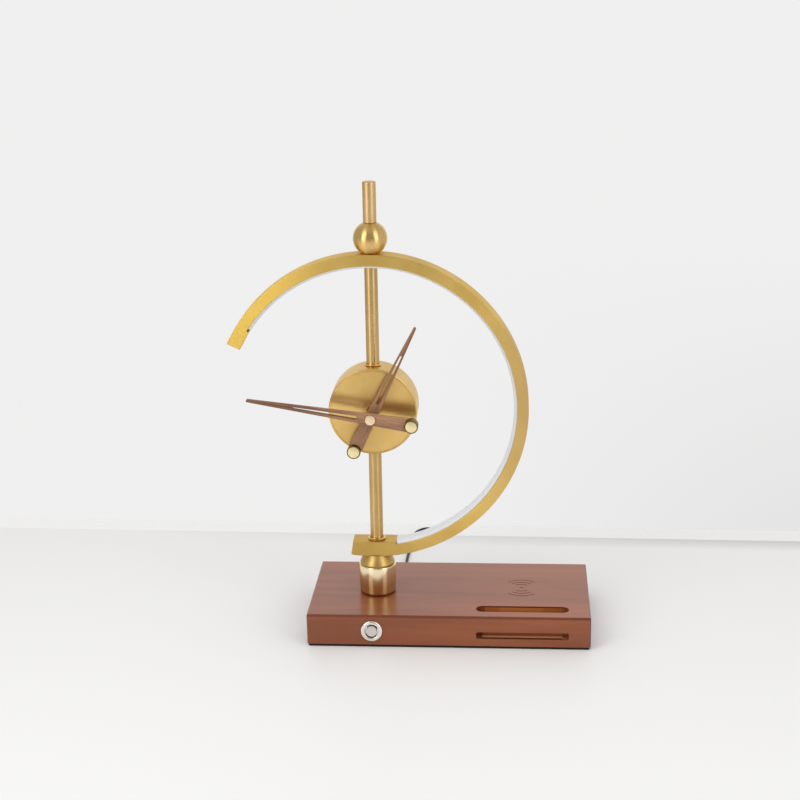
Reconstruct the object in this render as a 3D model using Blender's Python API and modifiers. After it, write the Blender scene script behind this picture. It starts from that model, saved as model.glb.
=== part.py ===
"""Desk lamp clock: a brass ring lamp and a drum clock on one rod, over a wooden charging base.

X runs along the base from left to right, Y from its front to its back, and Z up.
The origin is the middle of the base's underside.
"""

from math import asin, atan, ceil, cos, degrees, pi, radians, sin, sqrt

import bmesh
import bpy
import numpy as np
from mathutils import Matrix, Vector

MM = 0.001
GAP = 0.3 * MM

# Wooden base and its pad
BASE_WIDTH = 259.0 * MM
BASE_DEPTH = 127.2 * MM
BASE_HEIGHT = 29.6 * MM
BASE_EDGE = 1.2 * MM
PAD_THICKNESS = 1.7 * MM
PAD_INSET = 1.0 * MM

# Pocket under the base, and the cover that closes it
POCKET_WALL = 12.0 * MM
TOP_WALL = 5.0 * MM
FRONT_WALL = 8.0 * MM
COVER_THICKNESS = 1.5 * MM
COVER_LIP = 3.0 * MM
BAY_WIDTH = 44.0 * MM

# Phone groove in the top and card groove in the front
GROOVE_LENGTH = 84.0 * MM
GROOVE_INSET = 62.0 * MM
TOP_GROOVE_WIDTH = 13.4 * MM
TOP_GROOVE_DEPTH = 12.0 * MM
TOP_GROOVE_SETBACK = 18.1 * MM
FRONT_GROOVE_WIDTH = 6.0 * MM
FRONT_GROOVE_DEPTH = 8.0 * MM
FRONT_GROOVE_RISE = 11.1 * MM
FRONT_GROOVE_CORNER = 1.6 * MM

# Charging parts inside the base
COIL_INSET = 62.5 * MM
COIL_Y = 4.5 * MM
COIL_OUTER = 25.0 * MM
COIL_INNER = 10.0 * MM
COIL_THICKNESS = 2.0 * MM
FERRITE_MARGIN = 2.0 * MM
FERRITE_THICKNESS = 2.0 * MM
BOARD_LENGTH = 64.0 * MM
BOARD_WIDTH = 38.0 * MM
BOARD_THICKNESS = 1.6 * MM
BOARD_X = -18.0 * MM
BOARD_Y = 22.0 * MM
CHOKE_HEIGHT = 4.5 * MM
CHIP_HEIGHT = 1.6 * MM
CAPACITOR_HEIGHT = 6.0 * MM

# Push button in the front
BUTTON_INSET = 59.6 * MM
BUTTON_RISE = 14.5 * MM
BUTTON_FLANGE = 10.0 * MM
BUTTON_FLANGE_THICKNESS = 2.0 * MM
BUTTON_BARREL = 7.9 * MM
BUTTON_LENGTH = 20.0 * MM
BUTTON_WELL = 6.3 * MM
BUTTON_CAP = 5.5 * MM
BUTTON_CAP_HEAD = 3.0 * MM
BUTTON_STEM = 2.3 * MM
BUTTON_STEM_LENGTH = 8.0 * MM
BUTTON_TRAVEL = 2.0 * MM
BUTTON_PROUD = 0.6 * MM
BUTTON_NUT_FLATS = 19.0 * MM
BUTTON_NUT_THICKNESS = 3.0 * MM

# Power jack in the back, and the plug in it
JACK_INSET = 51.5 * MM
JACK_RISE = 10.0 * MM
JACK_FLANGE = 6.8 * MM
JACK_FLANGE_THICKNESS = 1.5 * MM
JACK_BARREL = 5.5 * MM
JACK_LENGTH = 13.5 * MM
JACK_PIN = 0.95 * MM
PLUG_SLEEVE = 2.7 * MM
PLUG_SLEEVE_WALL = 1.3 * MM
PLUG_SLEEVE_LENGTH = 9.0 * MM
PLUG_GRIP = 4.5 * MM
PLUG_GRIP_LENGTH = 18.0 * MM
PLUG_RELIEF = 3.0 * MM
PLUG_RELIEF_LENGTH = 9.0 * MM

# Column: the rod's axis and what stands on it
ROD_INSET = 61.1 * MM
ROD_Y = -5.2 * MM
ROD_RADIUS = 6.0 * MM
FINIAL_LENGTH = 36.2 * MM
BALL_RADIUS = 15.4 * MM
BALL_FLAT = 8.0 * MM
STUD_RADIUS = 5.0 * MM
STUD_BORE = 3.5 * MM
STUD_REACH = 12.0 * MM
STUD_FLATS = 17.0 * MM
STUD_NUT_THICKNESS = 5.0 * MM
STUD_WASHER = 14.0 * MM
STUD_WASHER_THICKNESS = 2.0 * MM
SCREW_RADIUS = 3.0 * MM
SCREW_REACH = 13.0 * MM
SCREW_FLATS = 10.0 * MM
SCREW_NUT_THICKNESS = 4.5 * MM
ROSETTE_HEIGHT = 2.2 * MM
ROSETTE_NECK = 0.5 * MM
ROSETTE_RIM = 0.7 * MM
BLOCK_ROSETTE = 8.4 * MM
DRUM_ROSETTE = 7.6 * MM

# Turned foot
CUP_HEIGHT = 28.2 * MM
CUP_BOTTOM = 16.8 * MM
CUP_BELLY = 17.5 * MM
CUP_TOP = 17.2 * MM
CUP_BELLY_RISE = 21.0 * MM
CUP_SHOULDER = 1.3 * MM
COLLAR_HEIGHT = 9.7 * MM
COLLAR_BOTTOM = 16.2 * MM
COLLAR_TOP = 11.4 * MM
COLLAR_RIM = 0.9 * MM

# Lamp ring: a C of square brass bar with a block at its lower end
RING_RADIUS = 143.1 * MM
RING_BAR = 10.4 * MM
RING_WIDTH = 20.0 * MM
RING_SHIFT = -2.2 * MM
RING_END_ANGLE = 154.5
END_BLOCK_RISE = 2.4 * MM
END_BLOCK_MARGIN_ANGLE = 0.3
RING_SEAT = 0.9 * MM
BALL_SEAT = 0.3 * MM
BLOCK_RISE = 14.2 * MM
BLOCK_LEFT = 21.8 * MM
BLOCK_RIGHT = 18.6 * MM
CHANNEL_WALL = 1.6 * MM
CHANNEL_DEPTH = 4.0 * MM
CHANNEL_END_ANGLE = 146.0
DIFFUSER_PROUD = 3.0 * MM
DIFFUSER_EDGE = 2.3 * MM
STRIP_THICKNESS = 1.2 * MM
STRIP_WIDTH = 12.0 * MM
STRIP_MARGIN_ANGLE = 1.6
WIRE_HOLE = 1.6 * MM

# Drum of the clock; its height is the height of the ring's centre
DRUM_RADIUS = 40.2 * MM
DRUM_DEPTH = 30.0 * MM
DRUM_FACE = 2.0 * MM
DRUM_WALL = 1.8 * MM
DRUM_CHAMFER = 0.8 * MM
DRUM_SEAT = 0.75 * MM

# Clock movement behind the drum's face
MOVEMENT_SIZE = 55.5 * MM
MOVEMENT_THICKNESS = 16.0 * MM
MOVEMENT_CORNER = 5.0 * MM
BUSH_RADIUS = 3.9 * MM
BUSH_REACH = 7.0 * MM
DIAL_NUT_FLATS = 12.0 * MM
DIAL_NUT_THICKNESS = 2.5 * MM
SHAFT_DEPTH = 6.0 * MM
BATTERY_RADIUS = 7.1 * MM
BATTERY_LENGTH = 49.2 * MM
BATTERY_NUB = 2.6 * MM
BATTERY_NUB_LENGTH = 1.2 * MM
BATTERY_DROP = 17.8 * MM
KNOB_RADIUS = 6.0 * MM
KNOB_THICKNESS = 4.0 * MM
KNOB_STEM = 1.5 * MM
KNOB_STEM_LENGTH = 4.0 * MM
KNOB_X = -13.0 * MM
KNOB_RISE = 11.0 * MM

# Hands, as distances in front of the drum's face
HOUR_TUBE = 2.55 * MM
MINUTE_SHAFT = 1.6 * MM
HAND_THICKNESS = 4.0 * MM
HOUR_PLANE = 10.5 * MM
MINUTE_PLANE = 20.4 * MM
BOSS_RADIUS = 4.7 * MM
BOSS_THICKNESS = 1.6 * MM
MINUTE_LENGTH = 112.4 * MM
HOUR_LENGTH = 91.4 * MM
HAND_TIP_WIDTH = 2.3 * MM
HOUR_TAIL_WIDTH = 13.2 * MM
MINUTE_TAIL_WIDTH = 12.8 * MM
HAND_TAIL = 37.0 * MM
HAND_TAIL_STOP = 4.0 * MM
HAND_SLOT_START = 13.6 * MM
HOUR_SLOT_END = 61.8 * MM
MINUTE_SLOT_END = 69.5 * MM
SLOT_NEAR_WIDTH = 3.2 * MM
SLOT_FAR_WIDTH = 1.5 * MM
WEIGHT_RADIUS = 6.2 * MM
WEIGHT_LENGTH = 9.0 * MM
WEIGHT_PROUD = 3.2 * MM
WEIGHT_CHAMFER = 0.9 * MM
CAP_RADIUS = 4.5 * MM
CAP_THICKNESS = 2.0 * MM
MINUTE_ANGLE = 278.8
HOUR_ANGLE = 26.4

# Cord: lead, coil and tail, and the plug at its far end
CORD_RADIUS = 1.4 * MM
CORD_STEP = 7.8 * MM
COIL_TURNS_IN = 5.0
COIL_TURNS_OUT = 4.75
LOOP_PITCH = 3.5 * MM
LAYER_PITCH = 3.5 * MM
LOOP_INNER = 6.8 * MM
LOOP_POINTS = 24
COIL_ASIDE = 54.0 * MM
COIL_BEHIND = 28.4 * MM
COIL_RISE = 2.4 * MM
TIE_THICKNESS = 0.6 * MM
TIE_WIDTH = 6.0 * MM
USB_SHELL_WIDTH = 12.0 * MM
USB_SHELL_HEIGHT = 4.5 * MM
USB_SHELL_LENGTH = 18.0 * MM
USB_SHELL_WALL = 0.5 * MM
USB_GRIP_WIDTH = 15.6 * MM
USB_GRIP_HEIGHT = 7.6 * MM
USB_GRIP_LENGTH = 25.0 * MM
USB_RELIEF = 2.6 * MM
USB_RELIEF_LENGTH = 8.0 * MM
USB_ASIDE = 112.0 * MM
USB_BEHIND = 12.4 * MM
USB_RISE = 4.4 * MM

# The lead's way in millimetres, from the foot of the jack: aside, behind and up
LEAD_ROUTE = [(0.0, 37.5, 11.0), (0.0, 50.5, 5.6), (-0.2, 63.4, 2.1), (-0.3, 79.9, 1.6), (0.8, 97.9, 1.6),
              (4.2, 113.4, 1.6), (10.4, 125.5, 1.6), (17.8, 133.7, 1.6), (24.0, 140.5, 1.6),
              (29.2, 148.2, 1.6), (32.0, 156.7, 1.6), (36.4, 162.9, 1.6), (42.3, 166.3, 1.6),
              (48.3, 165.1, 1.6), (52.9, 159.5, 1.6), (55.2, 150.9, 1.6), (53.0, 141.1, 1.6),
              (46.4, 134.0, 1.6), (38.5, 129.0, 1.6), (31.8, 121.7, 1.6), (28.2, 111.6, 1.6),
              (27.2, 98.9, 1.6), (26.5, 80.5, 1.6), (27.1, 61.5, 1.8)]

# Places along the base, from its two ends, and behind it, from its back
ROD_X = ROD_INSET - BASE_WIDTH / 2
BUTTON_X = BUTTON_INSET - BASE_WIDTH / 2
JACK_X = JACK_INSET - BASE_WIDTH / 2
GROOVE_X = BASE_WIDTH / 2 - GROOVE_INSET
COIL_X = BASE_WIDTH / 2 - COIL_INSET
COIL_CENTRE_X = JACK_X + COIL_ASIDE
COIL_CENTRE_Y = BASE_DEPTH / 2 + COIL_BEHIND
USB_X = JACK_X + USB_ASIDE
USB_Y = BASE_DEPTH / 2 + USB_BEHIND

# Heights up the column, each from the one below it
BASE_BOTTOM = PAD_THICKNESS + GAP
BASE_TOP = BASE_BOTTOM + BASE_HEIGHT
POCKET_TOP = BASE_TOP - TOP_WALL
CUP_FOOT = BASE_TOP + GAP
COLLAR_FOOT = CUP_FOOT + CUP_HEIGHT + GAP
RING_SEAT_Z = COLLAR_FOOT + COLLAR_HEIGHT + GAP
RING_BOTTOM = RING_SEAT_Z - RING_SEAT
RING_Z = RING_BOTTOM + RING_RADIUS
BLOCK_TOP = RING_BOTTOM + BLOCK_RISE
RING_X = ROD_X + RING_SHIFT
RING_INNER = RING_RADIUS - RING_BAR
CHANNEL_FLOOR = RING_INNER + CHANNEL_DEPTH
CLOCK_Z = RING_Z - 0.2 * MM
DRUM_SEAT_REACH = DRUM_RADIUS - DRUM_SEAT
CHANNEL_TOP_Z = RING_Z + sqrt(CHANNEL_FLOOR ** 2 - (abs(RING_SHIFT) + ROD_RADIUS) ** 2)
BALL_FOOT = RING_Z + RING_RADIUS - BALL_SEAT + GAP
BALL_Z = BALL_FOOT + sqrt(BALL_RADIUS ** 2 - BALL_FLAT ** 2)
FINIAL_FOOT = BALL_Z + sqrt(BALL_RADIUS ** 2 - ROD_RADIUS ** 2) - 0.4 * MM

# Planes along Y
BASE_FRONT = -BASE_DEPTH / 2
BASE_BACK = BASE_DEPTH / 2
DRUM_FRONT = ROD_Y - DRUM_DEPTH / 2
DRUM_BACK = ROD_Y + DRUM_DEPTH / 2
MOVEMENT_FRONT = DRUM_FACE + GAP
MOVEMENT_BACK = MOVEMENT_FRONT + MOVEMENT_THICKNESS


def clear_scene():
    """Remove whatever the file starts with."""
    for obj in list(bpy.data.objects):
        bpy.data.objects.remove(obj, do_unlink=True)


clear_scene()
MODEL = bpy.data.collections.new("desk_lamp_clock")
CUTTERS = bpy.data.collections.new("cutters")
bpy.context.scene.collection.children.link(MODEL)
bpy.context.scene.collection.children.link(CUTTERS)


def finish(name, colour, roughness, metallic=0.0):
    """Make one Principled material."""
    material = bpy.data.materials.new(name)
    material.use_nodes = True
    shader = material.node_tree.nodes["Principled BSDF"]
    shader.inputs["Base Color"].default_value = (*colour, 1.0)
    shader.inputs["Roughness"].default_value = roughness
    shader.inputs["Metallic"].default_value = metallic
    material.diffuse_color = (*colour, 1.0)
    return material


WOOD = finish("red_brown_wood", (0.27, 0.085, 0.04), 0.35)
HAND_WOOD = finish("walnut", (0.30, 0.15, 0.10), 0.5)
BRASS = finish("satin_brass", (0.56, 0.34, 0.12), 0.28, 1.0)
COPPER = finish("pale_copper", (0.80, 0.55, 0.38), 0.25, 1.0)
STEEL = finish("zinc_plated_steel", (0.55, 0.55, 0.53), 0.35, 1.0)
CHROME = finish("brushed_nickel", (0.75, 0.74, 0.70), 0.22, 1.0)
WHITE = finish("white_silicone", (0.82, 0.82, 0.80), 0.5)
GREY = finish("grey_plastic", (0.55, 0.52, 0.52), 0.4)
BLACK = finish("black_plastic", (0.02, 0.02, 0.022), 0.45)
FOAM = finish("black_foam", (0.012, 0.011, 0.010), 0.85)
RUBBER = finish("black_rubber", (0.03, 0.03, 0.032), 0.6)
BOARD = finish("green_board", (0.03, 0.16, 0.07), 0.45)
WINDING = finish("copper_winding", (0.55, 0.22, 0.09), 0.35, 0.8)
FERRITE = finish("dark_ferrite", (0.06, 0.055, 0.05), 0.7)
CELL = finish("battery_wrap", (0.10, 0.20, 0.30), 0.35)


def add(name, mesh, material, collection=None):
    """Put a mesh into the model as one named object."""
    obj = bpy.data.objects.new(name, mesh)
    (collection or MODEL).objects.link(obj)
    if material:
        mesh.materials.append(material)
    return obj


def settle(obj, angle=35.0):
    """Turn an object and its modifiers into a plain welded mesh, smooth but for its sharp edges."""
    bpy.context.view_layer.update()
    evaluated = obj.evaluated_get(bpy.context.evaluated_depsgraph_get())
    mesh = bpy.data.meshes.new_from_object(evaluated)
    form = bmesh.new()
    form.from_mesh(mesh)
    bmesh.ops.remove_doubles(form, verts=form.verts, dist=1e-6)
    bmesh.ops.recalc_face_normals(form, faces=form.faces)
    form.to_mesh(mesh)
    form.free()
    mesh.shade_smooth()
    mesh.set_sharp_from_angle(angle=radians(angle))
    mesh.name = obj.name
    settled = bpy.data.objects.new("settled", mesh)
    settled.matrix_world = obj.matrix_world.copy()
    for collection in obj.users_collection:
        collection.objects.link(settled)
    name = obj.name
    bpy.data.objects.remove(obj, do_unlink=True)
    settled.name = name
    return settled


def box(name, low, high, material, edge=0.0, segments=2, collection=None):
    """Make a box between two corners, with rounded edges if asked."""
    size = Vector(high) - Vector(low)
    mesh = bpy.data.meshes.new(name)
    form = bmesh.new()
    bmesh.ops.create_cube(form, size=1.0, matrix=Matrix.Diagonal((*size, 1.0)))
    form.to_mesh(mesh)
    form.free()
    obj = add(name, mesh, material, collection)
    obj.location = (Vector(low) + Vector(high)) / 2
    if edge:
        soften(obj, edge, segments)
    return obj


def soften(obj, width, segments=2, angle=40.0):
    """Round an object's sharp edges."""
    bevel = obj.modifiers.new("rounded_edges", "BEVEL")
    bevel.width = width
    bevel.segments = segments
    bevel.limit_method = "ANGLE"
    bevel.angle_limit = radians(angle)
    return bevel


def place(obj, at, facing):
    """Stand a local Z axis up, forward to the viewer, back, or along the base."""
    obj.location = at
    turns = {"up": (0, 0, 0), "front": (pi / 2, 0, 0), "back": (-pi / 2, 0, 0), "right": (pi / 2, 0, pi / 2)}
    obj.rotation_euler = turns[facing]
    return obj


def turned(name, profile, material, at, facing="up", steps=40, closed=False, collection=None):
    """Spin a profile of (radius, height) points, whose outer side runs from top to bottom."""
    mesh = bpy.data.meshes.new(name)
    edges = [(i, i + 1) for i in range(len(profile) - 1)]
    if closed:
        edges.append((len(profile) - 1, 0))
    mesh.from_pydata([(radius, 0.0, height) for radius, height in profile], edges, [])
    obj = add(name, mesh, material, collection)
    screw = obj.modifiers.new("spin", "SCREW")
    screw.angle = 2 * pi
    screw.steps = screw.render_steps = steps
    screw.use_merge_vertices = True
    screw.merge_threshold = 1e-6
    place(obj, at, facing)
    return settle(obj)


def cylinder(name, radius, low, high, material, at, facing="up", steps=40, chamfer=0.0, collection=None):
    """Turn a plain cylinder between two heights, with chamfered ends if asked."""
    if chamfer:
        profile = [(0, high), (radius - chamfer, high), (radius, high - chamfer),
                   (radius, low + chamfer), (radius - chamfer, low), (0, low)]
    else:
        profile = [(0, high), (radius, high), (radius, low), (0, low)]
    return turned(name, profile, material, at, facing, steps, collection=collection)


def ring_profile(outer, inner, low, high, chamfer=0.0):
    """Give the closed profile of a washer or a tube, its outer corners cut if asked."""
    if chamfer:
        top = [(outer - chamfer, high), (outer, high - chamfer)]
        bottom = [(outer, low + chamfer), (outer - chamfer, low)]
        return [(inner, high), *top, *bottom, (inner, low)]
    return [(inner, high), (outer, high), (outer, low), (inner, low)]


def arc(centre, radius, start, end, count):
    """Give count + 1 points on an arc, its angles in degrees."""
    angles = [radians(start + (end - start) * i / count) for i in range(count + 1)]
    return [(centre[0] + radius * cos(a), centre[1] + radius * sin(a)) for a in angles]


def slab(name, outlines, thickness, material, at, facing="up", collection=None):
    """Extrude a flat outline, with any further outlines as its holes, about its middle plane."""
    curve = bpy.data.curves.new(name, "CURVE")
    curve.dimensions = "2D"
    curve.fill_mode = "BOTH"
    curve.extrude = thickness / 2
    for outline in outlines:
        spline = curve.splines.new("POLY")
        spline.points.add(len(outline) - 1)
        for point, (x, y) in zip(spline.points, outline):
            point.co = (x, y, 0.0, 1.0)
        spline.use_cyclic_u = True
    obj = bpy.data.objects.new(name, curve)
    (collection or MODEL).objects.link(obj)
    if material:
        curve.materials.append(material)
    place(obj, at, facing)
    return settle(obj)


def stadium(length, width, corner, count=6):
    """Give a long outline whose corners are rounded."""
    x, y = length / 2 - corner, width / 2 - corner
    outline = []
    for turn, (cx, cy) in enumerate([(x, y), (-x, y), (-x, -y), (x, -y)]):
        outline += arc((cx, cy), corner, 90 * turn, 90 * turn + 90, count)
    return without_doubles(outline)


def without_doubles(outline):
    """Drop points that lie on the one before them."""
    kept = []
    for point in outline:
        if not kept or (Vector(point) - Vector(kept[-1])).length > 1e-5:
            kept.append(point)
    if (Vector(kept[0]) - Vector(kept[-1])).length < 1e-5:
        kept.pop()
    return kept


def hexagon(flats):
    """Give a hexagon by its width across flats, one flat facing up."""
    return [(flats / sqrt(3) * cos(radians(60 * i)), flats / sqrt(3) * sin(radians(60 * i))) for i in range(6)]


def circle(radius, count=24, centre=(0.0, 0.0)):
    """Give a circle as an outline."""
    return arc(centre, radius, 0, 360 * (count - 1) / count, count - 1)


def nut(name, flats, bore, low, high, material, at, facing):
    """Make a hexagon nut with a plain bore."""
    obj = slab(name, [hexagon(flats), circle(bore)], high - low, material, at, facing)
    axis = obj.matrix_world.to_3x3() @ Vector((0, 0, 1))
    obj.location = Vector(at) + axis * (low + high) / 2
    return obj


def cutter(obj):
    """Make an object a cutter that neither renders nor belongs to the model."""
    obj.hide_render = True
    obj.display_type = "WIRE"
    return obj


def cut(obj, tool, operation="DIFFERENCE"):
    """Cut one object with another, or join it."""
    boolean = obj.modifiers.new(tool.name, "BOOLEAN")
    boolean.operation = operation
    boolean.solver = "EXACT"
    boolean.object = cutter(tool)
    return obj


def bore(obj, name, radius, low, high, at, facing="up", steps=32):
    """Drill a round hole along an axis, between two heights on it."""
    return cut(obj, cylinder(name, radius, low, high, None, at, facing, steps, collection=CUTTERS))


def parent_on(name, at, pieces):
    """Hang moving pieces on an empty that stands on their axis."""
    axis = bpy.data.objects.new(name, None)
    axis.location = at
    axis.empty_display_size = 0.01
    MODEL.objects.link(axis)
    bpy.context.view_layer.update()
    for piece in pieces:
        world = piece.matrix_world.copy()
        piece.parent = axis
        piece.matrix_world = world
    return axis


def make_base():
    """Make the wooden block with its grooves, holes and pocket, its cover and its pad."""
    half = BASE_WIDTH / 2
    base = box("wood_base", (-half, BASE_FRONT, BASE_BOTTOM), (half, BASE_BACK, BASE_TOP), WOOD, BASE_EDGE)
    groove_y = BASE_FRONT + TOP_GROOVE_SETBACK
    top_groove = slab("top_groove", [stadium(GROOVE_LENGTH, TOP_GROOVE_WIDTH, TOP_GROOVE_WIDTH / 2)],
                      2 * TOP_GROOVE_DEPTH, None, (GROOVE_X, groove_y, BASE_TOP), "up", CUTTERS)
    front_outline = stadium(GROOVE_LENGTH, FRONT_GROOVE_WIDTH, FRONT_GROOVE_CORNER, 3)
    front_groove = slab("front_groove", [front_outline], 2 * FRONT_GROOVE_DEPTH, None,
                        (GROOVE_X, BASE_FRONT, BASE_BOTTOM + FRONT_GROOVE_RISE), "front", CUTTERS)
    pocket_front = groove_y + TOP_GROOVE_WIDTH / 2 + FRONT_WALL
    side = half - POCKET_WALL
    pocket = box("pocket", (-side, pocket_front, BASE_BOTTOM - 5 * MM),
                 (side, BASE_BACK - POCKET_WALL, POCKET_TOP), None, collection=CUTTERS)
    bay = box("button_bay", (BUTTON_X - BAY_WIDTH / 2, BASE_FRONT + FRONT_WALL, BASE_BOTTOM - 5 * MM),
              (BUTTON_X + BAY_WIDTH / 2, pocket_front + 5 * MM, POCKET_TOP - GAP), None, collection=CUTTERS)
    rebate_side = side + COVER_LIP + GAP
    rebate_front = BASE_FRONT + FRONT_WALL - COVER_LIP - GAP
    rebate_back = BASE_BACK - POCKET_WALL + COVER_LIP + GAP
    rebate = box("cover_rebate", (-rebate_side, rebate_front, BASE_BOTTOM - 5 * MM),
                 (rebate_side, rebate_back, BASE_BOTTOM + COVER_THICKNESS + GAP), None, collection=CUTTERS)
    for tool in (top_groove, front_groove, pocket, bay, rebate):
        cut(base, tool)
    bore(base, "stud_hole", STUD_RADIUS + GAP, POCKET_TOP - 5 * MM, BASE_TOP + 5 * MM, (ROD_X, ROD_Y, 0))
    button_at = (BUTTON_X, BASE_FRONT, BASE_BOTTOM + BUTTON_RISE)
    bore(base, "button_hole", BUTTON_BARREL + GAP, -FRONT_WALL - 5 * MM, 5 * MM, button_at, "front")
    jack_at = (JACK_X, BASE_BACK, BASE_BOTTOM + JACK_RISE)
    bore(base, "jack_hole", JACK_BARREL + GAP, -POCKET_WALL - 5 * MM, 5 * MM, jack_at, "back")
    box("base_cover", (-rebate_side + GAP, rebate_front + GAP, BASE_BOTTOM),
        (rebate_side - GAP, rebate_back - GAP, BASE_BOTTOM + COVER_THICKNESS), BLACK)
    box("base_pad", (-half + PAD_INSET, BASE_FRONT + PAD_INSET, 0),
        (half - PAD_INSET, BASE_BACK - PAD_INSET, PAD_THICKNESS), FOAM)
    return base


def make_charger():
    """Make the charging coil under the top, its ferrite and the circuit board on the cover."""
    coil_top = POCKET_TOP - GAP
    coil_low = coil_top - COIL_THICKNESS
    turned("charging_coil", ring_profile(COIL_OUTER, COIL_INNER, coil_low, coil_top), WINDING,
           (COIL_X, COIL_Y, 0), steps=36, closed=True)
    ferrite_top = coil_low - GAP
    cylinder("ferrite_disc", COIL_OUTER + FERRITE_MARGIN, ferrite_top - FERRITE_THICKNESS, ferrite_top,
             FERRITE, (COIL_X, COIL_Y, 0), steps=36)
    low = BASE_BOTTOM + COVER_THICKNESS + GAP
    top = low + BOARD_THICKNESS
    board = box("charger_board", (BOARD_X - BOARD_LENGTH / 2, BOARD_Y - BOARD_WIDTH / 2, low),
                (BOARD_X + BOARD_LENGTH / 2, BOARD_Y + BOARD_WIDTH / 2, top), BOARD)
    parts = [("choke", -0.30, 0.1, 0.12, CHOKE_HEIGHT), ("chip", 0.02, -0.1, 0.10, CHIP_HEIGHT),
             ("capacitor", 0.32, 0.12, 0.08, CAPACITOR_HEIGHT)]
    for name, along, across, share, height in parts:
        x = BOARD_X + along * BOARD_LENGTH
        y = BOARD_Y + across * BOARD_WIDTH
        half = share * BOARD_LENGTH / 2
        cut(board, box(name, (x - half, y - half, low + BOARD_THICKNESS / 2),
                       (x + half, y + half, top + height), None, collection=CUTTERS), "UNION")


def make_button():
    """Make the push button: flanged body, moving cap and the nut behind the wall."""
    at = (BUTTON_X, BASE_FRONT, BASE_BOTTOM + BUTTON_RISE)
    low, top = GAP, GAP + BUTTON_FLANGE_THICKNESS
    chamfer = 0.5 * MM
    cap_front = top + BUTTON_PROUD
    cap_back = cap_front - BUTTON_CAP_HEAD
    well_floor = cap_back - BUTTON_TRAVEL - GAP
    guide_end = cap_back - BUTTON_STEM_LENGTH - BUTTON_TRAVEL - GAP
    body = [(0, guide_end), (BUTTON_STEM + GAP, guide_end), (BUTTON_STEM + GAP, well_floor),
            (BUTTON_WELL, well_floor), (BUTTON_WELL, top), (BUTTON_FLANGE - chamfer, top),
            (BUTTON_FLANGE, top - chamfer), (BUTTON_FLANGE, low), (BUTTON_BARREL, low),
            (BUTTON_BARREL, -BUTTON_LENGTH), (0, -BUTTON_LENGTH)]
    turned("button_body", body, CHROME, at, "front", 32)
    cap = [(0, cap_front), (BUTTON_CAP - chamfer, cap_front), (BUTTON_CAP, cap_front - chamfer),
           (BUTTON_CAP, cap_back), (BUTTON_STEM, cap_back), (BUTTON_STEM, cap_back - BUTTON_STEM_LENGTH),
           (0, cap_back - BUTTON_STEM_LENGTH)]
    cap_piece = turned("button_cap", cap, GREY, at, "front", 28)
    parent_on("button_axis", at, [cap_piece])
    nut_top = -FRONT_WALL - GAP
    nut("button_nut", BUTTON_NUT_FLATS, BUTTON_BARREL + GAP, nut_top - BUTTON_NUT_THICKNESS, nut_top,
        CHROME, at, "front")


def make_power_inlet():
    """Make the jack in the back wall and the plug that sits in it."""
    at = (JACK_X, BASE_BACK, BASE_BOTTOM + JACK_RISE)
    top = GAP + JACK_FLANGE_THICKNESS
    mouth = PLUG_SLEEVE + GAP
    floor = top - PLUG_SLEEVE_LENGTH - GAP
    pin_end = top - 1.0 * MM
    jack = [(0, pin_end), (JACK_PIN, pin_end), (JACK_PIN, floor), (mouth, floor), (mouth, top),
            (JACK_FLANGE, top), (JACK_FLANGE, GAP), (JACK_BARREL, GAP), (JACK_BARREL, -JACK_LENGTH), (0, -JACK_LENGTH)]
    turned("dc_jack", jack, BLACK, at, "back", 20)
    grip_low = top + GAP
    sleeve_low = grip_low - PLUG_SLEEVE_LENGTH
    hollow = PLUG_SLEEVE - PLUG_SLEEVE_WALL
    grip_top = grip_low + PLUG_GRIP_LENGTH
    relief_top = grip_top + PLUG_RELIEF_LENGTH
    edge = 0.6 * MM
    plug = [(0, relief_top), (CORD_RADIUS + 0.5 * MM, relief_top), (PLUG_RELIEF, grip_top),
            (PLUG_GRIP - edge, grip_top), (PLUG_GRIP, grip_top - edge), (PLUG_GRIP, grip_low + edge),
            (PLUG_GRIP - edge, grip_low), (PLUG_SLEEVE, grip_low), (PLUG_SLEEVE, sleeve_low),
            (hollow, sleeve_low), (hollow, grip_low), (0, grip_low)]
    turned("dc_plug", plug, RUBBER, at, "back", 20)
    return (JACK_X, BASE_BACK + relief_top + GAP, BASE_BOTTOM + JACK_RISE)


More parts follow.
